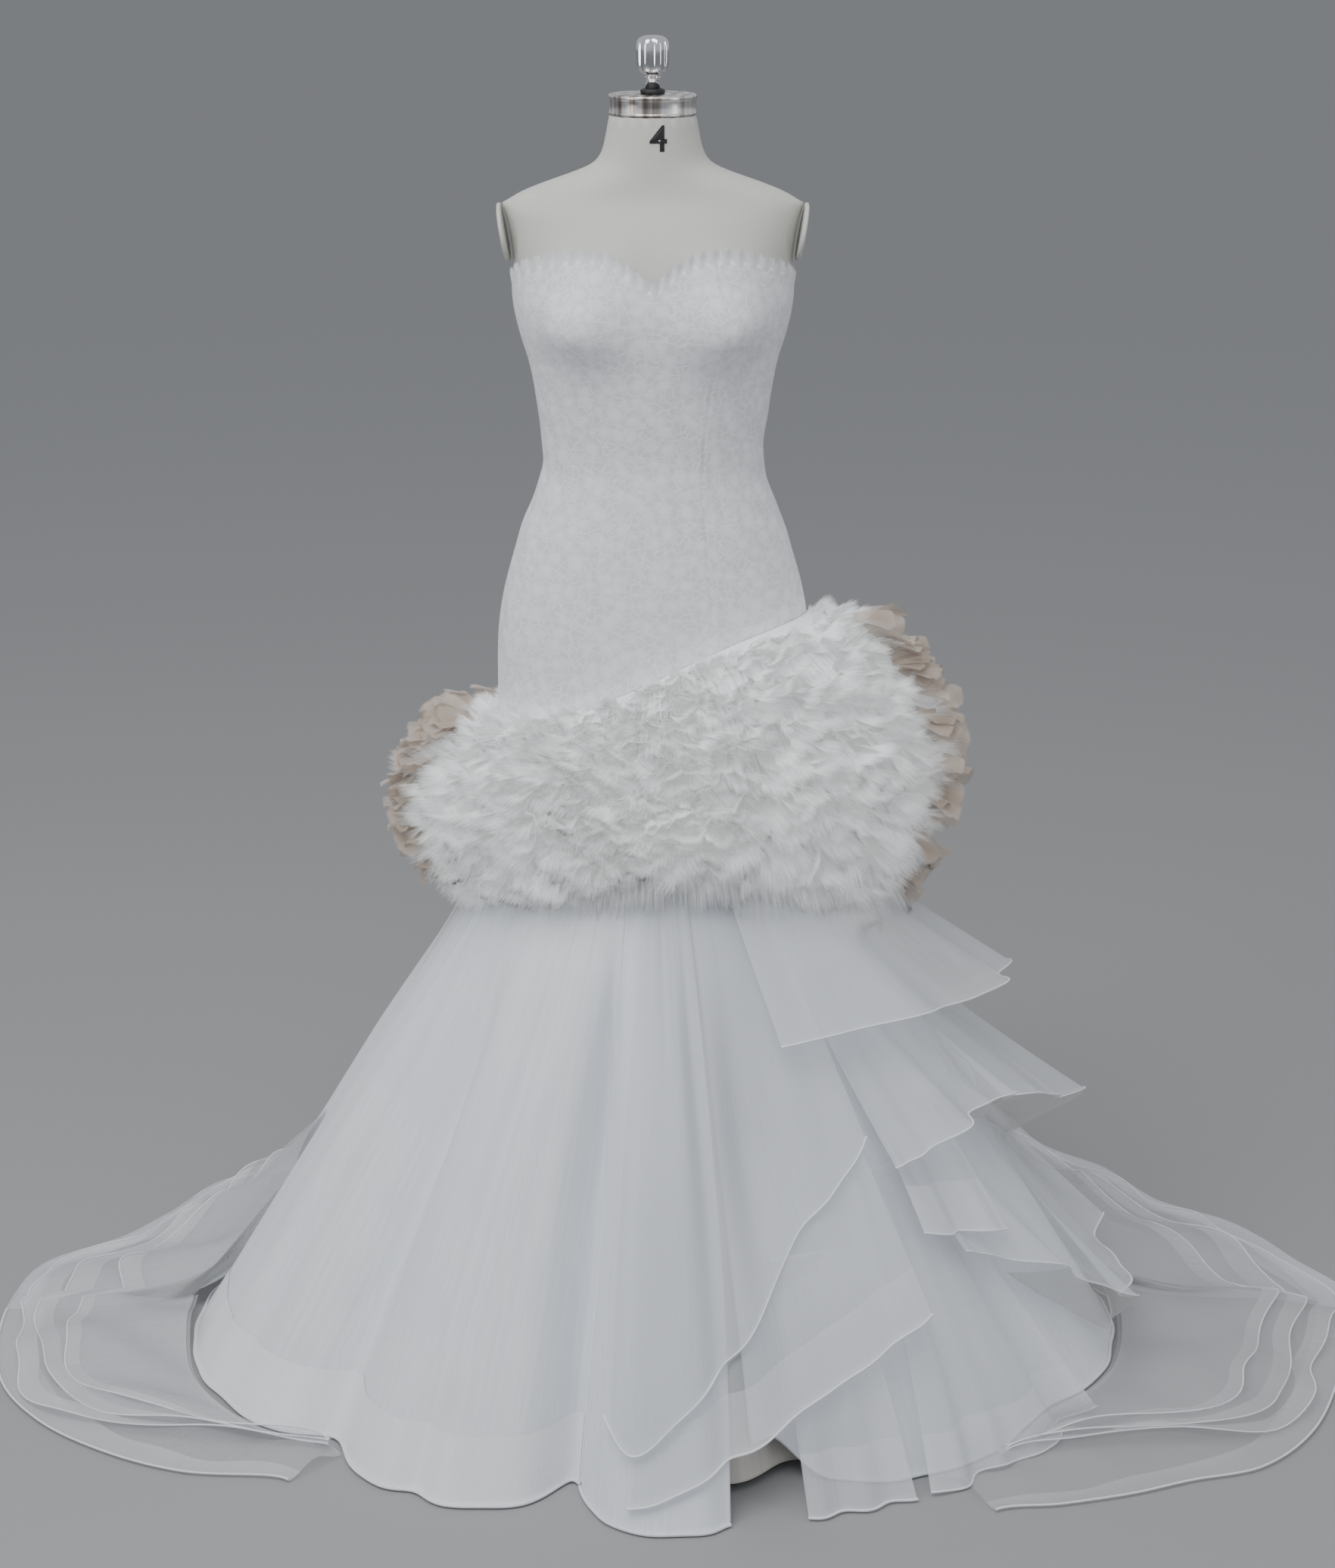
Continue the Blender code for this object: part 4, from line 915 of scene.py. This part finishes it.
# %% [markdown]
# ### The size on the neck
# A form has its size printed on the neck as a plain number. A text object becomes a mesh, and
# each of its points is laid on the neck's curve.

# %% Size number
number_data = bpy.data.curves.new("size_number", "FONT")
number_data.body = "4"
number_data.size = 0.038
number_data.align_x = "CENTER"
number_data.extrude = 0.00015
number_data.offset = 0.0006
number_maker = bpy.data.objects.new("number_maker", number_data)
bpy.context.scene.collection.objects.link(number_maker)
bpy.context.view_layer.update()
number_mesh = bpy.data.meshes.new_from_object(number_maker.evaluated_get(bpy.context.evaluated_depsgraph_get()))
bpy.data.objects.remove(number_maker)
NUMBER_FOOT = 1.399
NUMBER_SIDE = 0.0065
for vert in number_mesh.vertices:
    height = NUMBER_FOOT + vert.co.y
    along = (height - 1.388) / 0.045
    depth = 0.0500 - 0.0030 * along
    side = 0.0560 - 0.0090 * along
    x = NUMBER_SIDE + vert.co.x
    y = -depth * math.sqrt(max(0.0, 1.0 - (x / side) ** 2)) - 0.0006 - vert.co.z
    vert.co = (x, y, height)
number_mesh.materials.clear()
number_mesh.materials.append(rubber_finish)
number = bpy.data.objects.new("size_number", number_mesh)
bpy.context.scene.collection.objects.link(number)
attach(number, "root")
print("number", len(number_mesh.polygons), "faces")

# %% [markdown]
# ## The bodice
# The bodice is cut in panels with princess seams that run over the bust, and all of it is faced
# with lace. One closed ring of cloth is laid on the panels' form, since the lace hides the joins,
# and each seam is a narrow groove in it. The neckline is a sweetheart with scalloped lace on top.

# %% Bodice
BODICE_SEAMS = (-180.0, -135.0, -90.0, -36.0, 36.0, 90.0, 135.0, 180.0)
BODICE_FOOT = 0.602
LACE_LINE = 0.004


def bodice_place(across, down):
    turn = -180.0 + 360.0 * across
    top = smooth_value(NECKLINE, turn, 1) - LACE_LINE
    height = top + (BODICE_FOOT - top) * down
    radius = plain_radius(turn, height) + 0.0006
    lean = 4.0 * bell(height - 0.96, 0.16)
    for seam in BODICE_SEAMS:
        shift = seam + (lean if abs(seam) == 36.0 else 0.0) * (-1.0 if seam > 0 else 1.0)
        radius -= 0.0011 * bell(turn - shift, 0.55)
        radius += 0.0005 * bell(abs(turn - shift) - 1.6, 1.0)
    radius += 0.0007 * wave(turn + height * 120.0, 13.0) * bell(height - 1.02, 0.10)
    radius += 0.0008 * wave(height, 0.047, turn * 0.05) * bell(height - 1.04, 0.07) * bell(abs(turn) - 75.0, 22.0)
    return around(turn, radius, height)


bodice_nodes = [name for name in nodes if name.startswith("bodice_")]
bodice = lay_cloth("lace_bodice", 300, 130, bodice_place, (1.02, 0.69), lace_finish, bodice_nodes,
                   closed=True, thick=0.0012)

# %% Scalloped edge of the neckline
SCALLOPS = 54
lace_random = random.Random(11)
lash_reach = [lace_random.uniform(0.35, 1.0) for _ in range(SCALLOPS * 24 + 1)]


def neckline_place(across, down):
    turn = -180.0 + 360.0 * across
    neckline = smooth_value(NECKLINE, turn, 1)
    scallop = abs(math.sin(math.pi * SCALLOPS * across)) ** 0.7
    step = across * SCALLOPS * 24
    lash = lash_reach[int(round(step)) % len(lash_reach)] if int(round(step)) % 2 else 0.0
    rise = 0.0030 + 0.0036 * scallop + 0.0048 * lash * (1.0 if down == 0.0 else 0.0)
    height = neckline - 0.0125 + (rise + 0.0125) * (1.0 - down)
    flare = 0.0002 + 0.0016 * (1.0 - down) + 0.0012 * wave(turn, 6.6) * (1.0 - down)
    return around(turn, plain_radius(turn, min(height, neckline)) + flare, height)


neckline_lace = lay_cloth("neckline_lace_edge", SCALLOPS * 24, 6, neckline_place, (1.02, 0.030), eyelash_finish,
                          ["neckline_lace"],
                          closed=True)

# %% [markdown]
# ## The skirt
# Below the frills the skirt flares. Its panels are tulle over satin, and hang in soft tube folds
# that deepen towards the hem. The large folds come from the same table as the solids. Fine gathers
# at the top and shallow uneven ripples further down are added here.

# %% Fine folds
SEAM_ALLOWANCE = 7.0
# Columns: turn, spread in degrees, depth
VALLEYS = (
    (-66.0, 3.2, 0.007),
    (-49.0, 3.0, 0.009),
    (-31.0, 2.6, 0.010),
    (-12.6, 2.2, 0.018),
    (9.6, 2.2, 0.014),
    (140.0, 4.0, 0.006),
    (-128.0, 4.0, 0.006),
    (163.0, 3.4, 0.005),
)


def fine_folds(turn, height):
    near_top = 1.0 - ease((0.57 - height) / 0.20)
    uneven = 0.55 + 0.45 * wave(turn, 37.0, 0.5)
    gathers = 0.0009 * (wave(turn, 5.9, 1.3) + 0.6 * wave(turn, 3.7, 0.4) + 0.3 * wave(turn, 2.2, 2.0)) * near_top
    lower = fold_growth(height)
    drift = turn + 2.5 * math.sin(height * 7.0)
    ripples = 0.0015 * (wave(drift, 13.7, 0.8) + 0.7 * wave(drift, 8.3, 2.1)) * lower
    valleys = sum(depth * bell(turn - spot, spread) for spot, spread, depth in VALLEYS) * ease((0.56 - height) / 0.16)
    return gathers * uneven + ripples - valleys


def panel_place(first_top, last_top, first_hem, last_hem, radius, hem, out=0.0006, top=0.602):
    def place(across, down):
        top_turn = first_top + (last_top - first_top) * across
        hem_turn = first_hem + (last_hem - first_hem) * across
        turn = top_turn + (hem_turn - top_turn) * down
        height = top + (hem(turn) - top) * down
        tucked = tuck(turn, height)
        return around(turn, radius(turn, height) + fine_folds(turn, height) + out - tucked, height)
    return place


def tuck(turn, height):
    """A front panel runs past the side seam, hidden high up and lying over the train below."""
    past = max(0.0, abs(turn) - TRAIN_SEAM_TURN) / SEAM_ALLOWANCE
    hidden = 0.003 * ease((height - 0.17) / 0.06) if past else 0.0
    return hidden + 0.012 * past ** 1.5


def floor_hem(_turn):
    return 0.0030


def side_hem(turn):
    return 0.0030 + OPENING_HEM_RISE * ease((OPENING_HEM_TURN - turn) / OPENING_HEM_SPREAD)


# %% Front panels
left_place = panel_place(-88.0 - SEAM_ALLOWANCE, -10.5, -88.0 - SEAM_ALLOWANCE, -10.5, skirt_radius, floor_hem)
lay_cloth("skirt_left_panel", 210, 90, left_place, (0.72, 0.70), panel_finish, ["skirt_front_left"],
          cord=0.0012, thick=0.0010)
tube_place = panel_place(-10.5, 14.0, -10.5, 9.5, tube_radius, floor_hem)
lay_cloth("skirt_tube_panel", 70, 90, tube_place, (0.24, 0.70), panel_finish, ["skirt_centre_tube"],
          cord=0.0012, thick=0.0010)
right_place = panel_place(14.0, 88.0 + SEAM_ALLOWANCE, 14.0, 88.0 + SEAM_ALLOWANCE, skirt_radius, side_hem)
lay_cloth("skirt_right_panel", 160, 80, right_place, (0.72, 0.70), panel_finish, ["skirt_side_right"],
          cord=0.0012, thick=0.0010)


def lining_place(across, down):
    turn = 6.0 + 28.0 * across
    height = 0.598 + (0.012 - 0.598) * down
    inset = 0.0024 + 0.0176 * ease((0.598 - height) / 0.098)
    radius = min(skirt_radius(turn, height), tube_radius(turn, height)) - inset
    return around(turn, radius + 0.5 * fine_folds(turn, height), height)


lay_cloth("satin_lining_panel", 60, 50, lining_place, (0.24, 0.66), lining_finish, ["skirt_lining"],
          cord=0.0008)


def hem_band_place(across, down):
    turn = -87.6 + 76.6 * across
    height = 0.070 + (0.0032 - 0.070) * down
    return around(turn, skirt_radius(turn, height) + fine_folds(turn, height) + 0.0016, height)


lay_cloth("left_hem_band", 200, 8, hem_band_place, (0.66, 0.08), band_finish, ["hem_band_front_left"],
          cord=0.0014)

# %% [markdown]
# ### Sheer layers over the front
# Two long layers of sheer tulle cross the centre front. Their hems sweep down from the right side
# to the foot of the tube, and a cord in each hem draws a bright slanting line.

# %% Front layers


def layer_place(hem_table, steps):
    first, last = hem_table[0][0], hem_table[-1][0]

    def hem(turn):
        return smooth_value(hem_table, turn, 1)

    def radius(turn, height):
        apart = SEAT + (LAYER_STEP - SEAT) * ease((LAYER_TOP - height) / (LAYER_TOP - LAYER_STEP_FULL))
        return tube_radius(turn, height) + steps * apart

    return panel_place(first, last, first, last, radius, hem, top=LAYER_TOP)


lay_cloth("front_layer_upper", 120, 60, layer_place(FIRST_LAYER_HEM, FIRST_LAYER_STEPS), (0.42, 0.58),
          sheer_finish_plain, ["front_layer_1"], cord=0.0016)
lay_cloth("front_layer_lower", 120, 60, layer_place(SECOND_LAYER_HEM, 1.0), (0.46, 0.66),
          sheer_finish_banded, ["front_layer_2"], cord=0.0016)


def third_layer_place(across, down):
    turn = 19.0 + 13.5 * across
    height = 0.250 + (0.0034 - 0.250) * down
    waves = 0.004 * wave(turn - 19.0, 6.0)
    radius = plain_radius(turn, height) + 0.030 - 0.003 * down + waves * down
    return around(turn, radius, height)


lay_cloth("front_layer_hanging", 60, 40, third_layer_place, (0.17, 0.30), sheer_finish_banded, ["front_layer_3"],
          cord=0.0016)

# %% [markdown]
# ## The flounces
# A flounce is cut as part of a ring, so its sewn edge is short and its hem is long, and the extra
# length falls in flutes. Each flounce here runs through stations: the turn and height where it is
# sewn on, and the place of its hem, both read from the table that made the solids.

# %% Flounces


def flounce_place(name, top_height, seat, belly, flutes, flute_depth):
    stations = [(float(index), *row) for index, row in enumerate(FLOUNCES[name])]
    last = len(stations) - 1

    def place(across, down):
        top_turn, hem_turn, hem_radius, hem_height = (
            smooth_value(stations, last * across, column) for column in (1, 2, 3, 4))
        top_radius = skirt_radius(top_turn, top_height) + seat + 0.003
        turn = top_turn + (hem_turn - top_turn) * down
        height = top_height + (hem_height - top_height) * down
        radius = top_radius + (hem_radius - top_radius) * down ** belly
        flute = flute_depth * down ** 1.6 * (
            math.sin(across * flutes * 6.283 + 0.7) + 0.5 * math.sin(across * flutes * 10.7 + 2.0))
        return around(turn, radius + flute, height + 0.35 * flute)

    return place


for name, top_height, seat, belly, cut, share, flutes, depth, finish in (
        ("flounce_1", 0.599, 0.0078, 0.95, (0.92, 0.26), 0.62, 6.0, 0.008, sheer_finish_plain),
        ("flounce_2", 0.500, 0.0031, 1.10, (1.02, 0.38), 0.60, 7.0, 0.010, sheer_finish_plain),
        ("flounce_3", 0.420, 0.0028, 0.80, (0.18, 0.28), 0.62, 1.5, 0.004, sheer_finish_banded),
        ("flounce_4", 0.340, 0.0032, 1.10, (0.52, 0.36), 0.62, 4.0, 0.009, sheer_finish_plain),
        ("flounce_5", 0.300, 0.0027, 0.92, (0.34, 0.42), 0.60, 3.0, 0.006, sheer_finish_banded)):
    lay_cloth("sheer_" + name, 180, 36, flounce_place(name, top_height, seat, belly, flutes, depth), cut,
              finish, [name], cord=0.0012)

# %% Undersides of the flounces
# At its free end a flounce turns under, and the cloth drops back to the skirt. This cloth is coloured darker, as
# painted shade.


def return_place(hem_place, first, drop):
    def place(across, down):
        hem = hem_place(first + (1.0 - first) * across, 1.0)
        turn = math.degrees(math.atan2(hem.x, -hem.y))
        radius = math.hypot(hem.x, hem.y)
        height = hem.z - drop * down * (0.35 + 0.65 * across)
        inner = min(radius, skirt_radius(turn, height) + 0.014)
        ripple = 0.006 * math.sin(across * 17.0) * math.sin(math.pi * min(1.0, down * 1.2))
        return around(turn, radius + (inner - radius) * down ** 1.6 + ripple, height)
    return place


for name, top_height, seat, belly, flutes, depth, first, drop in (
        ("flounce_1", 0.599, 0.0078, 0.95, 6.0, 0.008, 0.35, 0.100),
        ("flounce_2", 0.500, 0.0031, 1.10, 7.0, 0.010, 0.30, 0.085),
        ("flounce_4", 0.340, 0.0032, 1.10, 4.0, 0.009, 0.30, 0.070)):
    hem_place = flounce_place(name, top_height, seat, belly, flutes, depth)
    stops = [hem_place(first + (1.0 - first) * step / 40, 1.0) for step in range(41)]
    hem_length = sum((after - before).length for before, after in zip(stops, stops[1:]))
    lay_cloth("underside_of_" + name, 90, 14, return_place(hem_place, first, drop), (hem_length, drop),
              underside_shade_finish, [], cord=0.0009)

# %% [markdown]
# ## The train
# The back panels leave the skirt's slope and run out flat on the floor. Beside the front panels the
# same cloth spreads to each side. Sheer layers lie on top of each other, so the train is denser
# near the gown, and each layer ends in its own waved, corded edge.

# %% Back panels and train


def train_height(turn, radius, outline):
    start = plain_radius(turn, TRAIN_BREAK)
    along = min(1.0, max(0.0, (radius - start) / (outline - start)))
    power = TRAIN_SLOPE * (outline - start) / TRAIN_BREAK
    power *= 1.0 + TRAIN_SEAM_DROP * bell(abs(turn) - TRAIN_SEAM_TURN, TRAIN_SEAM_SPREAD)
    ripple = 0.5 + 0.5 * math.sin(math.radians(turn * TRAIN_RIPPLES))
    swell = ease(along * RIPPLE_RISE) * ease((1.0 - along) * RIPPLE_FALL + RIPPLE_AT_EDGE)
    height = TRAIN_BREAK * (1.0 - along) ** power + TRAIN_RIPPLE_HEIGHT * ripple * swell
    return max(height, 0.0022)


def back_place(first, last):
    def place(across, down):
        turn = first + (last - first) * across
        if down < 0.4:
            height = 0.602 + (TRAIN_BREAK - 0.602) * down / 0.4
            return around(turn, skirt_radius(turn, height) + fine_folds(turn, height) + 0.0006, height)
        along = ((down - 0.4) / 0.6) ** 1.35
        outline = smooth_value(TRAIN_OUTLINE, turn, 1)
        start = plain_radius(turn, TRAIN_BREAK)
        radius = start + (outline - start) * along
        fold = skirt_radius(turn, TRAIN_BREAK) - start
        fold *= 1.0 - ease(along * TRAIN_FOLD_FADE)
        fine = fine_folds(turn, TRAIN_BREAK) * (1.0 - along)
        lift = 0.0012 + 0.004 * (wave(turn, 9.1) + 1.0) * ease(along * 3.0) * (1.0 - ease(along * 1.2 - 0.2))
        return around(turn, radius + fold + fine, train_height(turn, radius, outline) + lift)
    return place


for side, first, last in (("left", -180.0, -88.0), ("right", 88.0, 180.0)):
    lay_cloth("skirt_back_panel_" + side, 170, 130, back_place(first, last), (1.35, 1.14), back_finish,
              ["skirt_back_" + side], cord=0.0010)


def side_place(first, last, start_radius):
    def place(across, down):
        turn = first + (last - first) * across
        outline = smooth_value(TRAIN_OUTLINE, turn, 1)
        start = start_radius(turn)
        radius = start + (outline - start) * down
        swell = TRAIN_SIDE_LIFT * math.sin(math.pi * down) ** 2
        low = 0.0022 + swell
        lift = ease((abs(turn) - TRAIN_SIDE_LIFT_TURN) / (TRAIN_SEAM_TURN - TRAIN_SIDE_LIFT_TURN))
        height = low + (train_height(turn, radius, outline) - low) * lift
        ripple = 0.0035 * (1.0 + wave(turn, 8.3, 0.6)) * math.sin(math.pi * down)
        return around(turn, radius, height + ripple + 0.0008)
    return place


def left_start(turn):
    return skirt_radius(turn, 0.0) + TRAIN_SIDE_GAP + 0.002


def right_start(turn):
    return skirt_radius(turn, 0.0) + TRAIN_SIDE_GAP + 0.002


lay_cloth("train_side_left_sheet", 110, 60, side_place(-88.0, TRAIN_SIDE_LEFT_TURN, left_start), (0.62, 0.28),
          train_finish, ["train_side_left"], cord=0.0014)
lay_cloth("train_side_right_sheet", 110, 60, side_place(TRAIN_SIDE_RIGHT_TURN, 88.0, right_start), (0.70, 0.36),
          open_train_finish, ["train_side_right"], cord=0.0014)

# %% Upper layers of the train
# Columns: share of the way to the outline, height above the cloth below, period of its waves
TRAIN_LAYERS = (
    (0.91, 0.0045, 23.0),
    (0.79, 0.0080, 31.0),
    (0.64, 0.0115, 27.0),
)


LAYER_END_TURN = 44.0
LAYER_TAPER = 26.0


def train_cloth_height(turn, radius, start, outline):
    """Height of the lowest cloth of the train, behind the seam and beside the skirt alike."""
    if abs(turn) >= TRAIN_SEAM_TURN:
        return train_height(turn, radius, outline)
    down = min(1.0, max(0.0, (radius - start) / (outline - start)))
    low = 0.0022 + TRAIN_SIDE_LIFT * math.sin(math.pi * down) ** 2
    lift = ease((abs(turn) - TRAIN_SIDE_LIFT_TURN) / (TRAIN_SEAM_TURN - TRAIN_SIDE_LIFT_TURN))
    return low + (train_height(turn, radius, outline) - low) * lift


def train_layer_place(first, last, share, above, period, start_at):
    def place(across, down):
        turn = first + (last - first) * across
        outline = smooth_value(TRAIN_OUTLINE, turn, 1)
        start = start_at(turn) if abs(turn) < TRAIN_SEAM_TURN else plain_radius(turn, TRAIN_BREAK)
        to_seam = ease((180.0 - abs(turn)) / 24.0)
        uneven = 0.030 * wave(turn, period, share * 9.0) + 0.014 * wave(turn, period * 0.37, share * 5.0)
        uneven *= to_seam
        taper = ease((abs(turn) - LAYER_END_TURN) / LAYER_TAPER)
        along = 0.02 + (share + uneven - 0.02) * down * (0.05 + 0.95 * taper)
        radius = start + (outline - start) * along
        height = train_cloth_height(turn, radius, start, outline) + above * (0.4 + 0.6 * down)
        crumple = 0.005 * (1.0 + wave(turn + radius * 60.0, 11.3, share * 4.0)) * math.sin(math.pi * down) ** 0.8
        lifted = 0.004 * (1.0 + wave(turn, period * 0.5)) * down
        return around(turn, radius, height + (crumple + lifted) * to_seam)
    return place


for side, first, last, start_at, depth, finish in (
        ("left", -180.0, -46.0, left_start, 0.50, train_finish),
        ("right", 46.0, 180.0, right_start, 0.58, open_train_finish)):
    for number, (share, above, period) in enumerate(TRAIN_LAYERS):
        lay_cloth(f"train_layer_{side}_{number + 1}", 150, 34,
                  train_layer_place(first, last, share, above, period, start_at),
                  (1.30, depth), finish, [], cord=0.0010)

# %% [markdown]
# ## The frill band
# The band round the hips is many gathered strips of raw-edged tulle. Six tiers give its volume, as
# on the solids, with dense small gathers. On them stand thousands of small petals of torn tulle.
# A few petals are made once, and their copies are turned, tipped and scaled by seeded random
# numbers, so the band looks soft and uneven but comes out the same each time. The raw edge isn't
# cut in the mesh: the finish lets the cloth fade out there in fine streaks.

# %% Gathered tiers
FRONT_CLOSE = 0.50
LOW_TIER_SHARE = 0.84
FRONT_LONGER = 0.034
TIER_DEPTHS = (0.09, 0.12, 0.14, 0.17, 0.18, 0.19)
tier_random = random.Random(5)
HEM_TEETH = 1500
hem_teeth = [tier_random.uniform(-1.0, 1.0) for _ in range(HEM_TEETH + 1)]


def tier_place(order, sewn_at, hem_at, reach):
    def place(across, down):
        turn = -180.0 + 360.0 * across
        upper, lower, stand = (smooth_value(FRILL_PATH, turn, column) for column in (1, 2, 3))
        stand *= reach * (1.0 if order < 3 else LOW_TIER_SHARE)
        phase = math.radians(turn * WAVES_A_TIER + 360.0 * WAVE_SHIFT * order)
        swell = WAVE_HEIGHT * (1.0 + WAVE_SWELL * wave(turn, 120.0, 0.7)) * math.cos(phase)
        sewn = upper + (lower - upper) * sewn_at
        hem = upper + (lower - upper) * hem_at
        seat = plain_radius(turn, sewn) + 0.002
        edge = plain_radius(turn, max(hem, 0.600)) + stand
        belly = down ** 0.8
        radius = seat + (edge - seat) * belly + swell * down
        height = sewn + (hem - sewn) * down ** 1.25 + swell * down
        gather = 0.0032 * down ** 0.7 * (math.sin(turn * 2.61 + order) + 0.7 * math.sin(turn * 4.37 + 2.0 * order)
                                         + 0.5 * math.sin(turn * 7.13 + order))
        tooth = hem_teeth[int(across * HEM_TEETH)] * 0.006 * (1.0 if down == 1.0 else 0.0)
        front = max(0, order - 2) / 3.0 * bell(turn - 2.0, 62.0) * down
        return around(turn, radius + gather + tooth * 0.5 - stand * FRONT_CLOSE * front,
                      height + 0.4 * gather - tooth - FRONT_LONGER * front)
    return place


for order, (name, sewn_at, hem_at, reach) in enumerate(TIERS):
    strip = (3.2, TIER_DEPTHS[order])
    lay_cloth("gathered_" + name, 900, 9, tier_place(order, sewn_at, hem_at, reach), strip,
              frill_finish if order < 3 else low_frill_finish,
              [name], closed=True)

# %% Petals of torn tulle


def make_petal(rng, spread, rows, columns):
    """One petal along +X, a metre long: the narrow end is sewn down, and the wide end is the raw edge."""
    petal = bmesh.new()
    cloth = petal.loops.layers.uv.new("cloth")
    made = bmesh.ops.create_grid(petal, x_segments=rows, y_segments=columns, size=0.5)["verts"]
    curl = rng.uniform(-0.30, 0.30)
    start = rng.uniform(0.0, 6.0)
    shift = rng.uniform(0.0, 2.0)
    spots = {}
    for vert in made:
        along = vert.co.x + 0.5
        side = vert.co.y * 2.0
        half = spread * (0.28 + 0.72 * along ** 0.8)
        ruffle = along * (0.11 * math.sin(side * 3.1 + start) + 0.05 * math.sin(side * 7.3 + 2.0 * start))
        reach = along * (1.0 - 0.20 * side * side)
        spots[vert] = (shift + 0.05 * half * side, 0.05 * (1.0 - along))
        vert.co = (reach, side * half * (1.0 - 0.12 * along * side * side), ruffle + curl * along * along)
    for face in petal.faces:
        for loop in face.loops:
            loop[cloth].uv = spots[loop.vert]
    mesh = bpy.data.meshes.new("petal")
    petal.to_mesh(mesh)
    petal.free()
    return mesh


def petal_frame(turn, upwards, sideways, roll):
    """Axes of a petal that points out from the body, tipped up or down and to the side."""
    out = around(turn, 1.0, 0.0)
    side = around(turn + 90.0, 1.0, 0.0)
    tip = math.radians(upwards)
    lean = math.radians(sideways)
    along = (out * math.cos(tip) + Vector((0.0, 0.0, 1.0)) * math.sin(tip)) * math.cos(lean) + side * math.sin(lean)
    across = Vector((0.0, 0.0, 1.0)).cross(along).normalized()
    normal = along.cross(across)
    turned_across = across * math.cos(roll) + normal * math.sin(roll)
    turned_normal = normal * math.cos(roll) - across * math.sin(roll)
    return Matrix((along, turned_across, turned_normal)).transposed()


def add_petals(name, count, seed, spot, finish, cut, spread=0.55, grid=(5, 5), roll=0.8):
    """Sets count petals where spot says, and joins them in one piece."""
    rng = random.Random(seed)
    petals = [make_petal(rng, spread, *grid) for _ in range(7)]
    shape = bmesh.new()
    shape.loops.layers.uv.new("cloth")
    for _ in range(count):
        turn, radius, height, upwards, length = spot(rng)
        axes = petal_frame(turn, upwards, rng.uniform(-32.0, 32.0), rng.uniform(-roll, roll))
        copy = petals[rng.randrange(7)].copy()
        copy.transform(Matrix.Translation(around(turn, radius, height)) @ (axes * length).to_4x4())
        shape.from_mesh(copy)
        bpy.data.meshes.remove(copy)
    for petal in petals:
        bpy.data.meshes.remove(petal)
    piece = finish_object(name, shape, finish, [], smooth=True)
    area = cloth_area(piece)
    print(name, len(piece.data.polygons), "faces,", round(area, 3), "m2, cut", round(cut[0] * cut[1], 3))
    return piece


def band_spot(rng):
    """Somewhere on the band: lower petals lie closer to the skirt and hang down more."""
    turn = rng.uniform(-180.0, 180.0)
    share = rng.random() ** 1.12 * (1.04 - 0.27 * bell(turn - 4.0, 58.0))
    upper, lower, stand = (smooth_value(FRILL_PATH, turn, column) for column in (1, 2, 3))
    height = upper - 0.010 + (lower - upper) * share
    bulge = stand * (0.10 + 0.80 * math.sin(math.pi * min(1.0, share * 0.94 + 0.06)) ** 0.8) - 0.020
    radius = plain_radius(turn, max(height, 0.60)) + max(bulge, 0.001)
    upwards = 30.0 - 100.0 * share ** 0.9 + rng.uniform(-22.0, 22.0)
    length = 0.046 * rng.uniform(0.7, 1.3) * (0.62 + 0.38 * min(1.0, share * 4.0))
    return turn, radius, height, upwards, length


add_petals("torn_tulle_petals", 3000, 21, band_spot, frill_finish, (27.0, 0.20))


def rosette_spot(rng):
    """Wider petals at the centre front, laid one over the other and pointing down."""
    turn = rng.uniform(-13.0, 19.0)
    level = rng.random()
    stand = smooth_value(FRILL_PATH, turn, 3)
    height = 0.688 + 0.026 * level + 0.008 * wave(turn, 11.0)
    radius = plain_radius(turn, height) + stand * 0.70 + 0.004
    return turn, radius, height, -58.0 + 30.0 * level + rng.uniform(-14.0, 14.0), 0.040 * rng.uniform(0.7, 1.2)


add_petals("centre_petals", 64, 33, rosette_spot, petal_finish, (0.70, 0.12), spread=0.50, grid=(6, 8), roll=0.7)

# %% Peach organza behind the frills


def peach_spot(rng):
    """Stiffer organza petals, which stand out past the tulle at both sides and behind."""
    side = rng.choice((-1.0, 1.0))
    turn = side * (79.0 + 101.0 * rng.random() ** 2.0)
    share = rng.random()
    upper, lower, stand = (smooth_value(FRILL_PATH, turn, column) for column in (1, 2, 3))
    height = upper - 0.004 + (lower - upper) * share
    bulge = stand * (0.15 + 0.85 * math.sin(math.pi * min(1.0, share * 0.9 + 0.08)) ** 0.7) - 0.022
    radius = plain_radius(turn, max(height, 0.60)) + max(bulge, 0.001)
    return turn, radius, height, 18.0 - 62.0 * share + rng.uniform(-14.0, 14.0), 0.047 * rng.uniform(0.8, 1.12)


add_petals("peach_organza_petals", 330, 45, peach_spot, peach_finish, (2.6, 0.17), spread=0.50, grid=(6, 8), roll=0.7)
